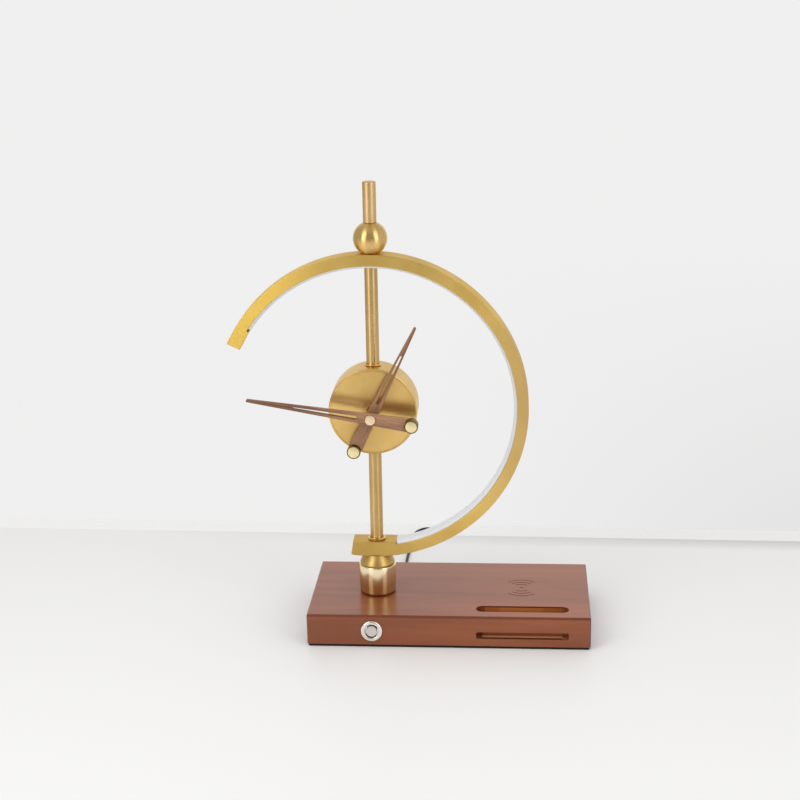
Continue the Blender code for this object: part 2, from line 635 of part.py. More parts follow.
def make_foot():
    """Make the turned cup and collar, the hollow stud through them, and its washer and nut."""
    at = (ROD_X, ROD_Y, 0)
    hole = STUD_RADIUS + GAP
    above = CUP_HEIGHT - CUP_SHOULDER
    side = []
    for i in range(7):
        z = above * (1 - i / 6)
        if z > CUP_BELLY_RISE:
            fall = (z - CUP_BELLY_RISE) / (above - CUP_BELLY_RISE)
            side.append((CUP_BELLY - (CUP_BELLY - CUP_TOP) * fall ** 2, CUP_FOOT + z))
        else:
            fall = 1 - z / CUP_BELLY_RISE
            side.append((CUP_BELLY - (CUP_BELLY - CUP_BOTTOM) * fall ** 2, CUP_FOOT + z))
    shoulder = arc((CUP_TOP - CUP_SHOULDER, CUP_FOOT + above), CUP_SHOULDER, 90, 22, 2)
    cup = [(hole, CUP_FOOT + CUP_HEIGHT), *shoulder, *side, (hole, CUP_FOOT)]
    turned("foot_cup", cup, BRASS, at, steps=40, closed=True)
    top = COLLAR_FOOT + COLLAR_HEIGHT
    dome = []
    for i in range(6):
        share = 1 - i / 5
        z = COLLAR_RIM + (COLLAR_HEIGHT - COLLAR_RIM) * share
        dome.append((COLLAR_BOTTOM - (COLLAR_BOTTOM - COLLAR_TOP) * share ** 1.35, COLLAR_FOOT + z))
    collar = [(hole, top), *dome, (COLLAR_BOTTOM, COLLAR_FOOT), (hole, COLLAR_FOOT)]
    turned("foot_collar", collar, BRASS, at, steps=40, closed=True)
    washer_top = POCKET_TOP - GAP
    washer_low = washer_top - STUD_WASHER_THICKNESS
    turned("stud_washer", ring_profile(STUD_WASHER, hole, washer_low, washer_top), STEEL, at, steps=32, closed=True)
    nut_top = washer_low - GAP
    nut_low = nut_top - STUD_NUT_THICKNESS
    nut("stud_nut", STUD_FLATS, hole, nut_low, nut_top, STEEL, at, "up")
    turned("base_stud", ring_profile(STUD_RADIUS, STUD_BORE, nut_low - 2 * MM, BLOCK_TOP + STUD_REACH), STEEL,
           at, steps=24, closed=True)


def sector(inner, outer, start, end, count):
    """Give the outline of a flat ring between two angles."""
    return arc((0, 0), outer, start, end, count) + arc((0, 0), inner, end, start, count)


def make_ring():
    """Make the C-shaped ring with its block, the light strip in its channel and the diffuser."""
    at = (RING_X, ROD_Y, RING_Z)
    left = -RING_SHIFT - BLOCK_LEFT
    right = -RING_SHIFT + BLOCK_RIGHT
    flat = BLOCK_TOP - RING_Z
    start = 270 - degrees(atan(left / flat))
    channel_start = 270 + degrees(asin(right / RING_INNER))
    block_start = 360 + CHANNEL_END_ANGLE + END_BLOCK_MARGIN_ANGLE
    outer = arc((0, 0), RING_RADIUS, start, 360 + RING_END_ANGLE, 56)
    inner = arc((0, 0), RING_INNER - END_BLOCK_RISE, 360 + RING_END_ANGLE, block_start, 2)
    inner += arc((0, 0), RING_INNER, block_start, channel_start, 52)
    outline = without_doubles(outer + inner + [(right, flat), (left, flat)])
    ring = slab("lamp_ring", [outline], RING_WIDTH, BRASS, at, "front")
    channel_end = 360 + CHANNEL_END_ANGLE
    begin = channel_start + degrees(GAP / RING_INNER)
    channel = slab("light_channel", [sector(RING_INNER - 12 * MM, CHANNEL_FLOOR, begin, channel_end, 54)],
                   RING_WIDTH - 2 * CHANNEL_WALL, None, at, "front", CUTTERS)
    cut(ring, channel)
    column = (ROD_X, ROD_Y, 0)
    bore(ring, "stud_hole_in_block", STUD_RADIUS + GAP, RING_BOTTOM - 5 * MM, BLOCK_TOP + 5 * MM, column)
    bore(ring, "collar_seat", COLLAR_TOP + 2 * GAP, RING_BOTTOM - 5 * MM, RING_SEAT_Z, column, steps=40)
    bore(ring, "screw_hole_at_top", SCREW_RADIUS + GAP, RING_Z + RING_INNER - 5 * MM,
         RING_Z + RING_RADIUS + 5 * MM, column, steps=24)
    bore(ring, "ball_seat", BALL_FLAT + 2 * GAP, BALL_FOOT - GAP, BALL_FOOT + 5 * MM, column, steps=40)
    wire_z = RING_BOTTOM + (BLOCK_RISE - CHANNEL_DEPTH + RING_BAR) / 2 - RING_SEAT
    bore(ring, "wire_hole", WIRE_HOLE, STUD_RADIUS - MM, BLOCK_RIGHT + 3 * MM, (ROD_X, ROD_Y, wire_z), "right", 12)
    gap_angle = degrees((ROD_RADIUS + 2 * GAP) / CHANNEL_FLOOR) + STRIP_MARGIN_ANGLE
    rod_angle = 450 + degrees(RING_SHIFT / RING_INNER)
    strip_outer = CHANNEL_FLOOR * cos(radians(2.0)) - GAP
    strip_inner = strip_outer - STRIP_THICKNESS
    runs = [(begin + STRIP_MARGIN_ANGLE, rod_angle - gap_angle, 44),
            (rod_angle + gap_angle, channel_end - STRIP_MARGIN_ANGLE, 14)]
    for name, (first, last, count) in zip(("led_strip_right", "led_strip_left"), runs):
        slab(name, [sector(strip_inner, strip_outer, first, last, count)], STRIP_WIDTH, WHITE, at, "front")
    diffuser_outer = strip_inner - GAP
    diffuser = slab("ring_diffuser", [sector(RING_INNER - DIFFUSER_PROUD, diffuser_outer, begin + 0.15,
                                             channel_end - 0.3, 54)],
                    RING_WIDTH - 2 * CHANNEL_WALL - 2 * GAP, WHITE, at, "front")
    soften(diffuser, DIFFUSER_EDGE, 1, 60)
    bore(diffuser, "rod_hole_in_diffuser", ROD_RADIUS + GAP, RING_Z + RING_INNER - 3 * DIFFUSER_PROUD,
         RING_Z + RING_RADIUS, column)


def rosette(name, radius, foot, facing):
    """Make a flared trim ring round the rod; foot is its height, and it flares to the face it stands on."""
    inner = ROD_RADIUS + GAP
    neck = inner + ROSETTE_NECK
    flare = []
    for i in range(4):
        share = i / 3
        rise = ROSETTE_HEIGHT - (ROSETTE_HEIGHT - ROSETTE_RIM) * share
        flare.append((neck + (radius - neck) * share ** 2, rise))
    profile = [(inner, ROSETTE_HEIGHT), *flare, (radius, 0), (inner, 0)]
    obj = turned(name, profile, BRASS, (ROD_X, ROD_Y, foot), "up", 28, closed=True)
    if facing == "down":
        obj.rotation_euler = (pi, 0, 0)
    return obj


def make_column():
    """Make the rods, their trim rings, the screws that join them, and the ball and finial."""
    at = (ROD_X, ROD_Y, 0)
    drum_low = CLOCK_Z - DRUM_SEAT_REACH
    drum_top = CLOCK_Z + DRUM_SEAT_REACH
    rosette("block_rosette", BLOCK_ROSETTE, BLOCK_TOP + GAP, "up")
    rosette("drum_lower_rosette", DRUM_ROSETTE, drum_low - GAP, "down")
    rosette("drum_upper_rosette", DRUM_ROSETTE, drum_top + GAP, "up")
    stud_bore = STUD_RADIUS + GAP
    screw_bore = SCREW_RADIUS + GAP
    low, top = BLOCK_TOP + GAP, drum_low - GAP
    stud_end = BLOCK_TOP + STUD_REACH + 2 * GAP
    socket = top - SCREW_REACH - GAP
    lower = [(0, socket), (screw_bore, socket), (screw_bore, top), (ROD_RADIUS, top), (ROD_RADIUS, low),
             (stud_bore, low), (stud_bore, stud_end), (0, stud_end)]
    turned("lower_rod", lower, BRASS, at, steps=28)
    low, top = drum_top + GAP, CHANNEL_TOP_Z - GAP
    upper_socket = top - SCREW_REACH - GAP
    lower_socket = low + SCREW_REACH + GAP
    upper = [(0, upper_socket), (screw_bore, upper_socket), (screw_bore, top), (ROD_RADIUS, top),
             (ROD_RADIUS, low), (screw_bore, low), (screw_bore, lower_socket), (0, lower_socket)]
    turned("upper_rod", upper, BRASS, at, steps=28)
    wall = DRUM_RADIUS - DRUM_WALL
    nut_face = wall - 3 * GAP
    screw_end = nut_face - SCREW_NUT_THICKNESS - 1.0 * MM
    for name, side in (("lower", -1), ("upper", 1)):
        ends = sorted((CLOCK_Z + side * screw_end, CLOCK_Z + side * (DRUM_SEAT_REACH + GAP + SCREW_REACH)))
        cylinder(f"drum_{name}_stud", SCREW_RADIUS, ends[0], ends[1], STEEL, at, steps=20)
        faces = sorted((CLOCK_Z + side * nut_face, CLOCK_Z + side * (nut_face - SCREW_NUT_THICKNESS)))
        nut(f"drum_{name}_nut", SCREW_FLATS, screw_bore, faces[0], faces[1], STEEL, at, "up")
    cylinder("ring_stud", SCREW_RADIUS, upper_socket + GAP, FINIAL_FOOT + SCREW_REACH, STEEL, at, steps=20)
    tilt = degrees(asin(BALL_FLAT / BALL_RADIUS))
    crown = degrees(asin(screw_bore / BALL_RADIUS))
    round_side = arc((0, BALL_Z), BALL_RADIUS, 90 - crown, tilt - 90, 15)
    turned("ball", [*round_side, (screw_bore, BALL_FOOT)], BRASS, at, steps=32, closed=True)
    low = FINIAL_FOOT + GAP
    top = low + FINIAL_LENGTH
    seat = BALL_Z + sqrt(BALL_RADIUS ** 2 - ROD_RADIUS ** 2) + GAP
    chamfer = 0.5 * MM
    end = FINIAL_FOOT + SCREW_REACH + GAP
    dish = degrees(asin(ROD_RADIUS / (BALL_RADIUS + GAP)))
    hollow = degrees(asin(screw_bore / (BALL_RADIUS + GAP)))
    cup = arc((0, BALL_Z), BALL_RADIUS + GAP, 90 - dish, 90 - hollow, 2)
    finial = [(0, top), (ROD_RADIUS - chamfer, top), (ROD_RADIUS, top - chamfer), (ROD_RADIUS, seat + chamfer),
              *cup, (screw_bore, end), (0, end)]
    turned("finial_rod", finial, BRASS, at, steps=28)


def make_drum():
    """Make the drum, open at the back, with the movement, its nut, cell and setting knob."""
    at = (ROD_X, DRUM_FRONT, CLOCK_Z)
    inner = DRUM_RADIUS - DRUM_WALL
    edge = 0.4 * MM
    drum = [(0, 0), (DRUM_RADIUS - DRUM_CHAMFER, 0), (DRUM_RADIUS, -DRUM_CHAMFER), (DRUM_RADIUS, edge - DRUM_DEPTH),
            (DRUM_RADIUS - edge, -DRUM_DEPTH), (inner, -DRUM_DEPTH), (inner, -DRUM_FACE), (0, -DRUM_FACE)]
    case = turned("drum_case", drum, BRASS, at, "front", 60)
    column = (ROD_X, ROD_Y, CLOCK_Z)
    bore(case, "bush_hole", BUSH_RADIUS + GAP, -DRUM_FACE - MM, MM, at, "front", 24)
    bore(case, "screw_holes", SCREW_RADIUS + GAP, -DRUM_RADIUS - MM, DRUM_RADIUS + MM, column, "up", 24)
    for name, side in (("upper_seat", 1), ("lower_seat", -1)):
        ends = sorted((side * DRUM_SEAT_REACH, side * (DRUM_RADIUS + 3 * MM)))
        bore(case, name, DRUM_ROSETTE + 2 * GAP, ends[0], ends[1], column, "up", 36)

    body = slab("clock_movement", [stadium(MOVEMENT_SIZE, MOVEMENT_SIZE, MOVEMENT_CORNER, 4)], MOVEMENT_THICKNESS,
                BLACK, (ROD_X, DRUM_FRONT + MOVEMENT_FRONT + MOVEMENT_THICKNESS / 2, CLOCK_Z), "front")
    cut(body, cylinder("bush", BUSH_RADIUS, -MOVEMENT_FRONT - MM, BUSH_REACH, None, at, "front", 28,
                       collection=CUTTERS), "UNION")
    bore(body, "arbor_hole", HOUR_TUBE + GAP, -MOVEMENT_FRONT - SHAFT_DEPTH - GAP, BUSH_REACH + MM, at, "front", 24)
    cell_z = CLOCK_Z - BATTERY_DROP
    cell_y = DRUM_FRONT + MOVEMENT_BACK - GAP - BATTERY_RADIUS
    room = BATTERY_RADIUS + GAP
    reach = (BATTERY_LENGTH + BATTERY_NUB_LENGTH) / 2 + GAP
    cut(body, box("battery_bay", (ROD_X - reach, cell_y - room, cell_z - room),
                  (ROD_X + reach, DRUM_FRONT + MOVEMENT_BACK + MM, cell_z + room), None, collection=CUTTERS))
    knob_at = (ROD_X + KNOB_X, DRUM_FRONT + MOVEMENT_BACK, CLOCK_Z + KNOB_RISE)
    bore(body, "knob_hole", KNOB_STEM + GAP, -KNOB_STEM_LENGTH - GAP, MM, knob_at, "back", 20)
    half = BATTERY_LENGTH / 2
    nub = half + BATTERY_NUB_LENGTH
    shift = BATTERY_NUB_LENGTH / 2
    cell = [(0, nub - shift), (BATTERY_NUB, nub - shift), (BATTERY_NUB, half - shift),
            (BATTERY_RADIUS, half - shift), (BATTERY_RADIUS, -half - shift), (0, -half - shift)]
    turned("battery", cell, CELL, (ROD_X, cell_y, cell_z), "right", 28)
    chamfer = 0.5 * MM
    knob = [(0, GAP + KNOB_THICKNESS), (KNOB_RADIUS - chamfer, GAP + KNOB_THICKNESS),
            (KNOB_RADIUS, GAP + KNOB_THICKNESS - chamfer), (KNOB_RADIUS, GAP), (KNOB_STEM, GAP),
            (KNOB_STEM, -KNOB_STEM_LENGTH), (0, -KNOB_STEM_LENGTH)]
    knob_piece = turned("setting_knob", knob, BLACK, knob_at, "back", 24)
    parent_on("knob_axis", knob_at, [knob_piece])
    nut("dial_nut", DIAL_NUT_FLATS, BUSH_RADIUS + GAP, GAP, GAP + DIAL_NUT_THICKNESS, BRASS, at, "front")


def hand_outline(length, tail_width):
    """Give a hand's tapered outline along +Y, from its tail to its blunt tip."""
    def half_width(y):
        share = (y + HAND_TAIL) / (length + HAND_TAIL)
        return (tail_width + (HAND_TIP_WIDTH - tail_width) * share) / 2

    tail = HAND_TAIL_STOP - HAND_TAIL
    shoulder = length - HAND_TIP_WIDTH / 2
    tip = arc((0, shoulder), half_width(shoulder), 0, 180, 6)
    return [(-half_width(tail), tail), (half_width(tail), tail), *tip], half_width


def slot_outline(end):
    """Give the long tapered slot in a hand, round at both ends."""
    near = arc((0, HAND_SLOT_START), SLOT_NEAR_WIDTH / 2, 180, 360, 5)
    far = arc((0, end), SLOT_FAR_WIDTH / 2, 0, 180, 4)
    return near + far


def make_hand(name, length, tail_width, slot_end, plane, hole, turn):
    """Make a wooden hand, its boss and its tail weight, turned to the hour or minute it shows."""
    at = (ROD_X, DRUM_FRONT, CLOCK_Z)
    outline, _ = hand_outline(length, tail_width)
    middle = (ROD_X, DRUM_FRONT - plane - HAND_THICKNESS / 2, CLOCK_Z)
    hand = slab(f"{name}_hand", [outline, slot_outline(slot_end), circle(hole)], HAND_THICKNESS, HAND_WOOD,
                middle, "front")
    low = plane + HAND_THICKNESS + WEIGHT_PROUD - WEIGHT_LENGTH
    high = plane + HAND_THICKNESS + WEIGHT_PROUD
    weight_at = (ROD_X, DRUM_FRONT, CLOCK_Z - HAND_TAIL)
    notch = cylinder(f"{name}_tail_notch", WEIGHT_RADIUS + GAP, low, high, None, weight_at, "front", 28,
                     collection=CUTTERS)
    weight = cylinder(f"{name}_weight", WEIGHT_RADIUS, low, high, BRASS, weight_at, "front", 28, WEIGHT_CHAMFER)
    boss = turned(f"{name}_boss", ring_profile(BOSS_RADIUS, hole, plane - GAP - BOSS_THICKNESS, plane - GAP), BRASS,
                  at, "front", 24, closed=True)
    axis = parent_on(f"{name}_axis", at, [hand, weight, boss, notch])
    axis.rotation_euler = (0, radians(turn), 0)
    cut(hand, notch)
    return axis, [hand, weight, boss]


def make_hands():
    """Make both hands with the tube and shaft that turn them, and the cap that holds the front one."""
    at = (ROD_X, DRUM_FRONT, CLOCK_Z)
    depth = -MOVEMENT_FRONT - SHAFT_DEPTH
    hour_axis, _ = make_hand("hour", HOUR_LENGTH, HOUR_TAIL_WIDTH, HOUR_SLOT_END, HOUR_PLANE,
                             HOUR_TUBE + GAP, HOUR_ANGLE)
    minute_axis, _ = make_hand("minute", MINUTE_LENGTH, MINUTE_TAIL_WIDTH, MINUTE_SLOT_END, MINUTE_PLANE,
                               MINUTE_SHAFT + GAP, MINUTE_ANGLE)
    tube = turned("hour_tube", ring_profile(HOUR_TUBE, MINUTE_SHAFT + GAP, depth, HOUR_PLANE + HAND_THICKNESS + GAP),
                  STEEL, at, "front", 24, closed=True)
    front = MINUTE_PLANE + HAND_THICKNESS + GAP
    shaft_end = front + CAP_THICKNESS / 2
    shaft = cylinder("minute_shaft", MINUTE_SHAFT, depth, shaft_end, STEEL, at, "front", 20)
    chamfer = 0.4 * MM
    top = front + CAP_THICKNESS
    room = MINUTE_SHAFT + GAP
    cap = [(0, top), (CAP_RADIUS - chamfer, top), (CAP_RADIUS, top - chamfer), (CAP_RADIUS, front),
           (room, front), (room, shaft_end + GAP), (0, shaft_end + GAP)]
    cap_piece = turned("minute_cap", cap, COPPER, at, "front", 24)
    hang(hour_axis, [tube])
    hang(minute_axis, [shaft, cap_piece])


def hang(axis, pieces):
    """Hang further pieces on an axis without moving them."""
    bpy.context.view_layer.update()
    for piece in pieces:
        world = piece.matrix_world.copy()
        piece.parent = axis
        piece.matrix_world = world


def smooth_route(points, step):
    """Read evenly spaced points from a Catmull-Rom curve through the given ones."""
    route = [Vector(point) for point in points]
    route = [2 * route[0] - route[1], *route, 2 * route[-1] - route[-2]]
    dense = []
    for a, b, c, d in zip(route, route[1:], route[2:], route[3:]):
        for i in range(24):
            t = i / 24
            dense.append(0.5 * (2 * b + (c - a) * t + (2 * a - 5 * b + 4 * c - d) * t ** 2
                                + (3 * b - a - 3 * c + d) * t ** 3))
    dense.append(route[-2])
    reach = [0.0]
    for a, b in zip(dense, dense[1:]):
        reach.append(reach[-1] + (b - a).length)
    count = max(2, ceil(reach[-1] / step))
    wanted = np.linspace(0.0, reach[-1], count + 1)
    columns = [np.interp(wanted, reach, [point[k] for point in dense]) for k in range(3)]
    return [Vector(values) for values in zip(*columns)], reach[-1]


def tube(name, points, radius, resolution, material):
    """Sweep a round cord along points."""
    curve = bpy.data.curves.new(name, "CURVE")
    curve.dimensions = "3D"
    curve.bevel_depth = radius
    curve.bevel_resolution = resolution
    curve.use_fill_caps = True
    spline = curve.splines.new("POLY")
    spline.points.add(len(points) - 1)
    for point, place_at in zip(spline.points, points):
        point.co = (*place_at, 1.0)
    curve.materials.append(material)
    obj = bpy.data.objects.new(name, curve)
    MODEL.objects.link(obj)
    return obj


def coil_points():
    """Spiral in on the lower layer, climb in the half turn that reverses it, and spiral out above."""
    turns = COIL_TURNS_IN + 0.5 + COIL_TURNS_OUT
    points = []
    for i in range(round(turns * LOOP_POINTS) + 1):
        turn = i / LOOP_POINTS
        radius = LOOP_INNER + LOOP_PITCH * abs(turn - COIL_TURNS_IN - 0.25)
        share = min(max((turn - COIL_TURNS_IN) / 0.5, 0.0), 1.0)
        climb = (1 - cos(pi * share)) / 2
        angle = pi + 2 * pi * turn
        points.append(Vector((COIL_CENTRE_X + radius * cos(angle), COIL_CENTRE_Y + radius * sin(angle),
                              COIL_RISE + LAYER_PITCH * climb)))
    run = 2 * CORD_RADIUS
    points.insert(0, points[0] + Vector((0, run, 0)))
    angle = pi + 2 * pi * turns
    points.append(points[-1] + run * Vector((-sin(angle), cos(angle), 0)))
    return points


def least_gap(points, radius, apart):
    """Measure the least clear gap between stretches of a cord that lie apart along it."""
    places = np.array([tuple(point) for point in points])
    shares = np.linspace(0.0, 1.0, 4, endpoint=False)
    dense = np.concatenate([places[:-1] + share * (places[1:] - places[:-1]) for share in shares])
    order = np.argsort(np.concatenate([np.arange(len(places) - 1) + share for share in shares]))
    dense = dense[order]
    reach = np.concatenate([[0.0], np.cumsum(np.linalg.norm(np.diff(dense, axis=0), axis=1))])
    between = np.linalg.norm(dense[:, None] - dense[None], axis=2)
    between[np.abs(reach[:, None] - reach[None]) < apart] = 1.0
    return between.min() - 2 * radius


def make_cord(start):
    """Lay the lead from its plug round to the coil, and the tail from the coil to the far plug."""
    coil = coil_points()
    length = sum((b - a).length for a, b in zip(coil, coil[1:]))
    tube("cord_coil", coil, CORD_RADIUS, 1, RUBBER)
    first = coil[0] + Vector((0, GAP, 0))
    foot = Vector((JACK_X, BASE_BACK, 0))
    route = [Vector(start)] + [foot + MM * Vector(point) for point in LEAD_ROUTE]
    route += [first + Vector((0, 4 * CORD_RADIUS, 0)), first]
    lead, lead_length = smooth_route(route, CORD_STEP)
    tube("cord_lead", lead, CORD_RADIUS, 2, RUBBER)
    last = coil[-1]
    heading = (coil[-1] - coil[-2]).normalized()
    grip_start = Vector((USB_X, USB_Y, USB_RISE))
    tail_route = [last + GAP * heading, last + 5 * MM * heading]
    reach = grip_start - Vector((USB_RELIEF_LENGTH + 6 * MM, 0, 0)) - tail_route[-1]
    tail_route += [tail_route[1] + Vector((0.38 * reach.x, 0.12 * reach.y, 0.2 * reach.z)),
                   tail_route[1] + Vector((0.72 * reach.x, 0.6 * reach.y, 0.7 * reach.z))]
    tail_route += [grip_start - Vector((USB_RELIEF_LENGTH + 6 * MM, 0, 0)),
                   grip_start - Vector((USB_RELIEF_LENGTH + GAP, 0, 0))]
    tail, tail_length = smooth_route(tail_route, CORD_STEP)
    tube("cord_tail", tail, CORD_RADIUS, 2, RUBBER)
    print(f"cord length {1000 * (length + lead_length + tail_length):.0f} mm, "
          f"least gap in the coil {1000 * least_gap(coil, CORD_RADIUS, 6 * CORD_RADIUS):.2f} mm")

    outer = LOOP_INNER + LOOP_PITCH * (COIL_TURNS_IN + 0.25) + CORD_RADIUS + 2 * GAP
    inner = LOOP_INNER - CORD_RADIUS - 1.5 * MM
    low = COIL_RISE - CORD_RADIUS - GAP
    high = COIL_RISE + LAYER_PITCH + CORD_RADIUS + GAP
    opening = [(inner, low), (outer, low), (outer, high), (inner, high)]
    t = TIE_THICKNESS
    band = [(inner - t, low - t), (outer + t, low - t), (outer + t, high + t), (inner - t, high + t)]
    tie = slab("coil_tie", [band, opening], TIE_WIDTH, BLACK, (COIL_CENTRE_X, COIL_CENTRE_Y, 0), "front")
    return tie


def make_usb_plug():
    """Make the far plug: a moulded grip with a tapered relief, and its metal shell."""
    x, y, z = USB_X, USB_Y, USB_RISE
    grip = box("usb_grip", (x, y - USB_GRIP_WIDTH / 2, z - USB_GRIP_HEIGHT / 2),
               (x + USB_GRIP_LENGTH, y + USB_GRIP_WIDTH / 2, z + USB_GRIP_HEIGHT / 2), RUBBER, 1.2 * MM)
    relief = [(0, 2 * MM), (USB_RELIEF, 2 * MM), (USB_RELIEF, 0), (CORD_RADIUS + 0.4 * MM, -USB_RELIEF_LENGTH),
              (0, -USB_RELIEF_LENGTH)]
    cut(grip, turned("usb_relief", relief, None, (x, y, z), "right", 20, collection=CUTTERS), "UNION")
    end = x + USB_GRIP_LENGTH
    sunk = 6 * MM
    half_width, half_height = USB_SHELL_WIDTH / 2, USB_SHELL_HEIGHT / 2
    cut(grip, box("usb_socket", (end - sunk - GAP, y - half_width - GAP, z - half_height - GAP),
                  (end + MM, y + half_width + GAP, z + half_height + GAP), None, collection=CUTTERS))
    shell = box("usb_shell", (end - sunk, y - half_width, z - half_height),
                (end - sunk + USB_SHELL_LENGTH, y + half_width, z + half_height), CHROME)
    wall = USB_SHELL_WALL
    cut(shell, box("usb_mouth", (end - sunk + MM, y - half_width + wall, z - half_height + wall),
                   (end + USB_SHELL_LENGTH, y + half_width - wall, z + half_height - wall), None,
                   collection=CUTTERS))


def main():
    """Build the whole object."""
    make_base()
    make_charger()
    make_button()
    cord_start = make_power_inlet()
    make_foot()
    make_ring()
    make_column()
    make_drum()
    make_hands()
    make_cord(cord_start)
    make_usb_plug()


main()
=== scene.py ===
"""Finishes, fine shapes, light and camera for the desk lamp clock.

X runs to the right, Y to the back and Z up. The origin is under the middle of the base. The pieces' sizes
and places are in millimetres, those of the camera, the table and the lamps in metres.
"""

import logging
import sys
from dataclasses import dataclass
from enum import Enum
from math import acos, asin, atan, atan2, ceil, cos, degrees, pi, radians, sin, sqrt
from typing import Iterable, Optional, Sequence

import bmesh
import bpy
import numpy as np
from mathutils import Matrix, Vector

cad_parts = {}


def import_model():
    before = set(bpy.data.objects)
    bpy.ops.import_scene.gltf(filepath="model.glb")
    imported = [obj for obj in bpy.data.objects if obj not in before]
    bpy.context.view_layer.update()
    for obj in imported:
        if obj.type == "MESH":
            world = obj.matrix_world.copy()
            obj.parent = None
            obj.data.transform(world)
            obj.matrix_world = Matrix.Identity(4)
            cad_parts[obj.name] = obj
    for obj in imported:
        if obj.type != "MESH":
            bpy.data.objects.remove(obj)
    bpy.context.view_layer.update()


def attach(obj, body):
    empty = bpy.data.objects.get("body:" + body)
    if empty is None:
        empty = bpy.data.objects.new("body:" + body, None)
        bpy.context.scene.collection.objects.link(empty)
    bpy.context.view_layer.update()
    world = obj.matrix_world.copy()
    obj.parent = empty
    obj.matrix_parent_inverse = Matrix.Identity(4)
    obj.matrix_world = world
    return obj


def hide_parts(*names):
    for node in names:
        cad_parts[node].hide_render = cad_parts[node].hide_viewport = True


LOG = logging.getLogger("desk_lamp_clock")
MM = 0.001

# The clearance between pieces that stand on one another.
GAP = 0.3
# How far a cutter reaches past the face that it cuts.
PAST = 2.0
# The part of a noise's range that carries nearly all of it.
MIDDLE = (0.3, 0.7)
# Where a mask with a hard rim begins to fade, as a share of its box's half sizes.
HARD_RIM = 0.998
# The point that the lamps face, in metres.
LAMPS_FACE = (-0.03, 0.0, 0.15)
# How tarnish tints a metal.
TARNISH_TINT = (1.0, 0.97, 0.88)
# Repeats a metre along and across the grain, then the noise's detail, roughness and distortion.
WOOD_PATTERNS = (
    (3.0, 26.0, 3.0, 0.5, 0.6),     # broad figure
    (5.0, 120.0, 4.0, 0.6, 0.35),   # growth bands
    (28.0, 900.0, 3.0, 0.6),        # fibres
    (75.0, 1500.0, 2.0, 0.55),      # pores
)

Colour = tuple[float, float, float]
Point = tuple[float, float]
Spot = tuple[float, float, float]
Socket = bpy.types.NodeSocket


class Body(Enum):
    """The rigid bodies that pieces ride on."""

    LAMP = "lamp"
    HOUR = "hour_set"
    MINUTE = "minute_set"
    KNOB = "knob"
    BUTTON = "button"


class Facing(Enum):
    """The way that a shape's own Z axis points, as turns about X and Z in degrees."""

    UP = (0, 0)
    DOWN = (180, 0)
    FRONT = (90, 0)
    BACK = (-90, 0)
    RIGHT = (90, 90)

    def at(self, x: float, y: float, z: float) -> Matrix:
        """Give the matrix that turns a shape this way and sets it at a place in millimetres.

        Args:
            x: The shift along X in millimetres.
            y: The shift along Y.
            z: The shift along Z.

        Returns:
            The placing, with its shift in metres.
        """
        tilt, swing = (radians(angle) for angle in self.value)
        turn = Matrix.Rotation(swing, 4, "Z") @ Matrix.Rotation(tilt, 4, "X")
        return Matrix.Translation(Vector((x, y, z)) * MM) @ turn


def shade(red: float, green: float, blue: float) -> Colour:
    """Turn a screen colour of 0 to 255 into the linear colour that nodes take.

    Args:
        red: Red, from 0 to 255.
        green: Green, from 0 to 255.
        blue: Blue, from 0 to 255.

    Returns:
        The same colour in linear light.
    """
    return tuple(c / 3294.6 if c <= 10.3 else ((c / 255 + 0.055) / 1.055) ** 2.4 for c in (red, green, blue))


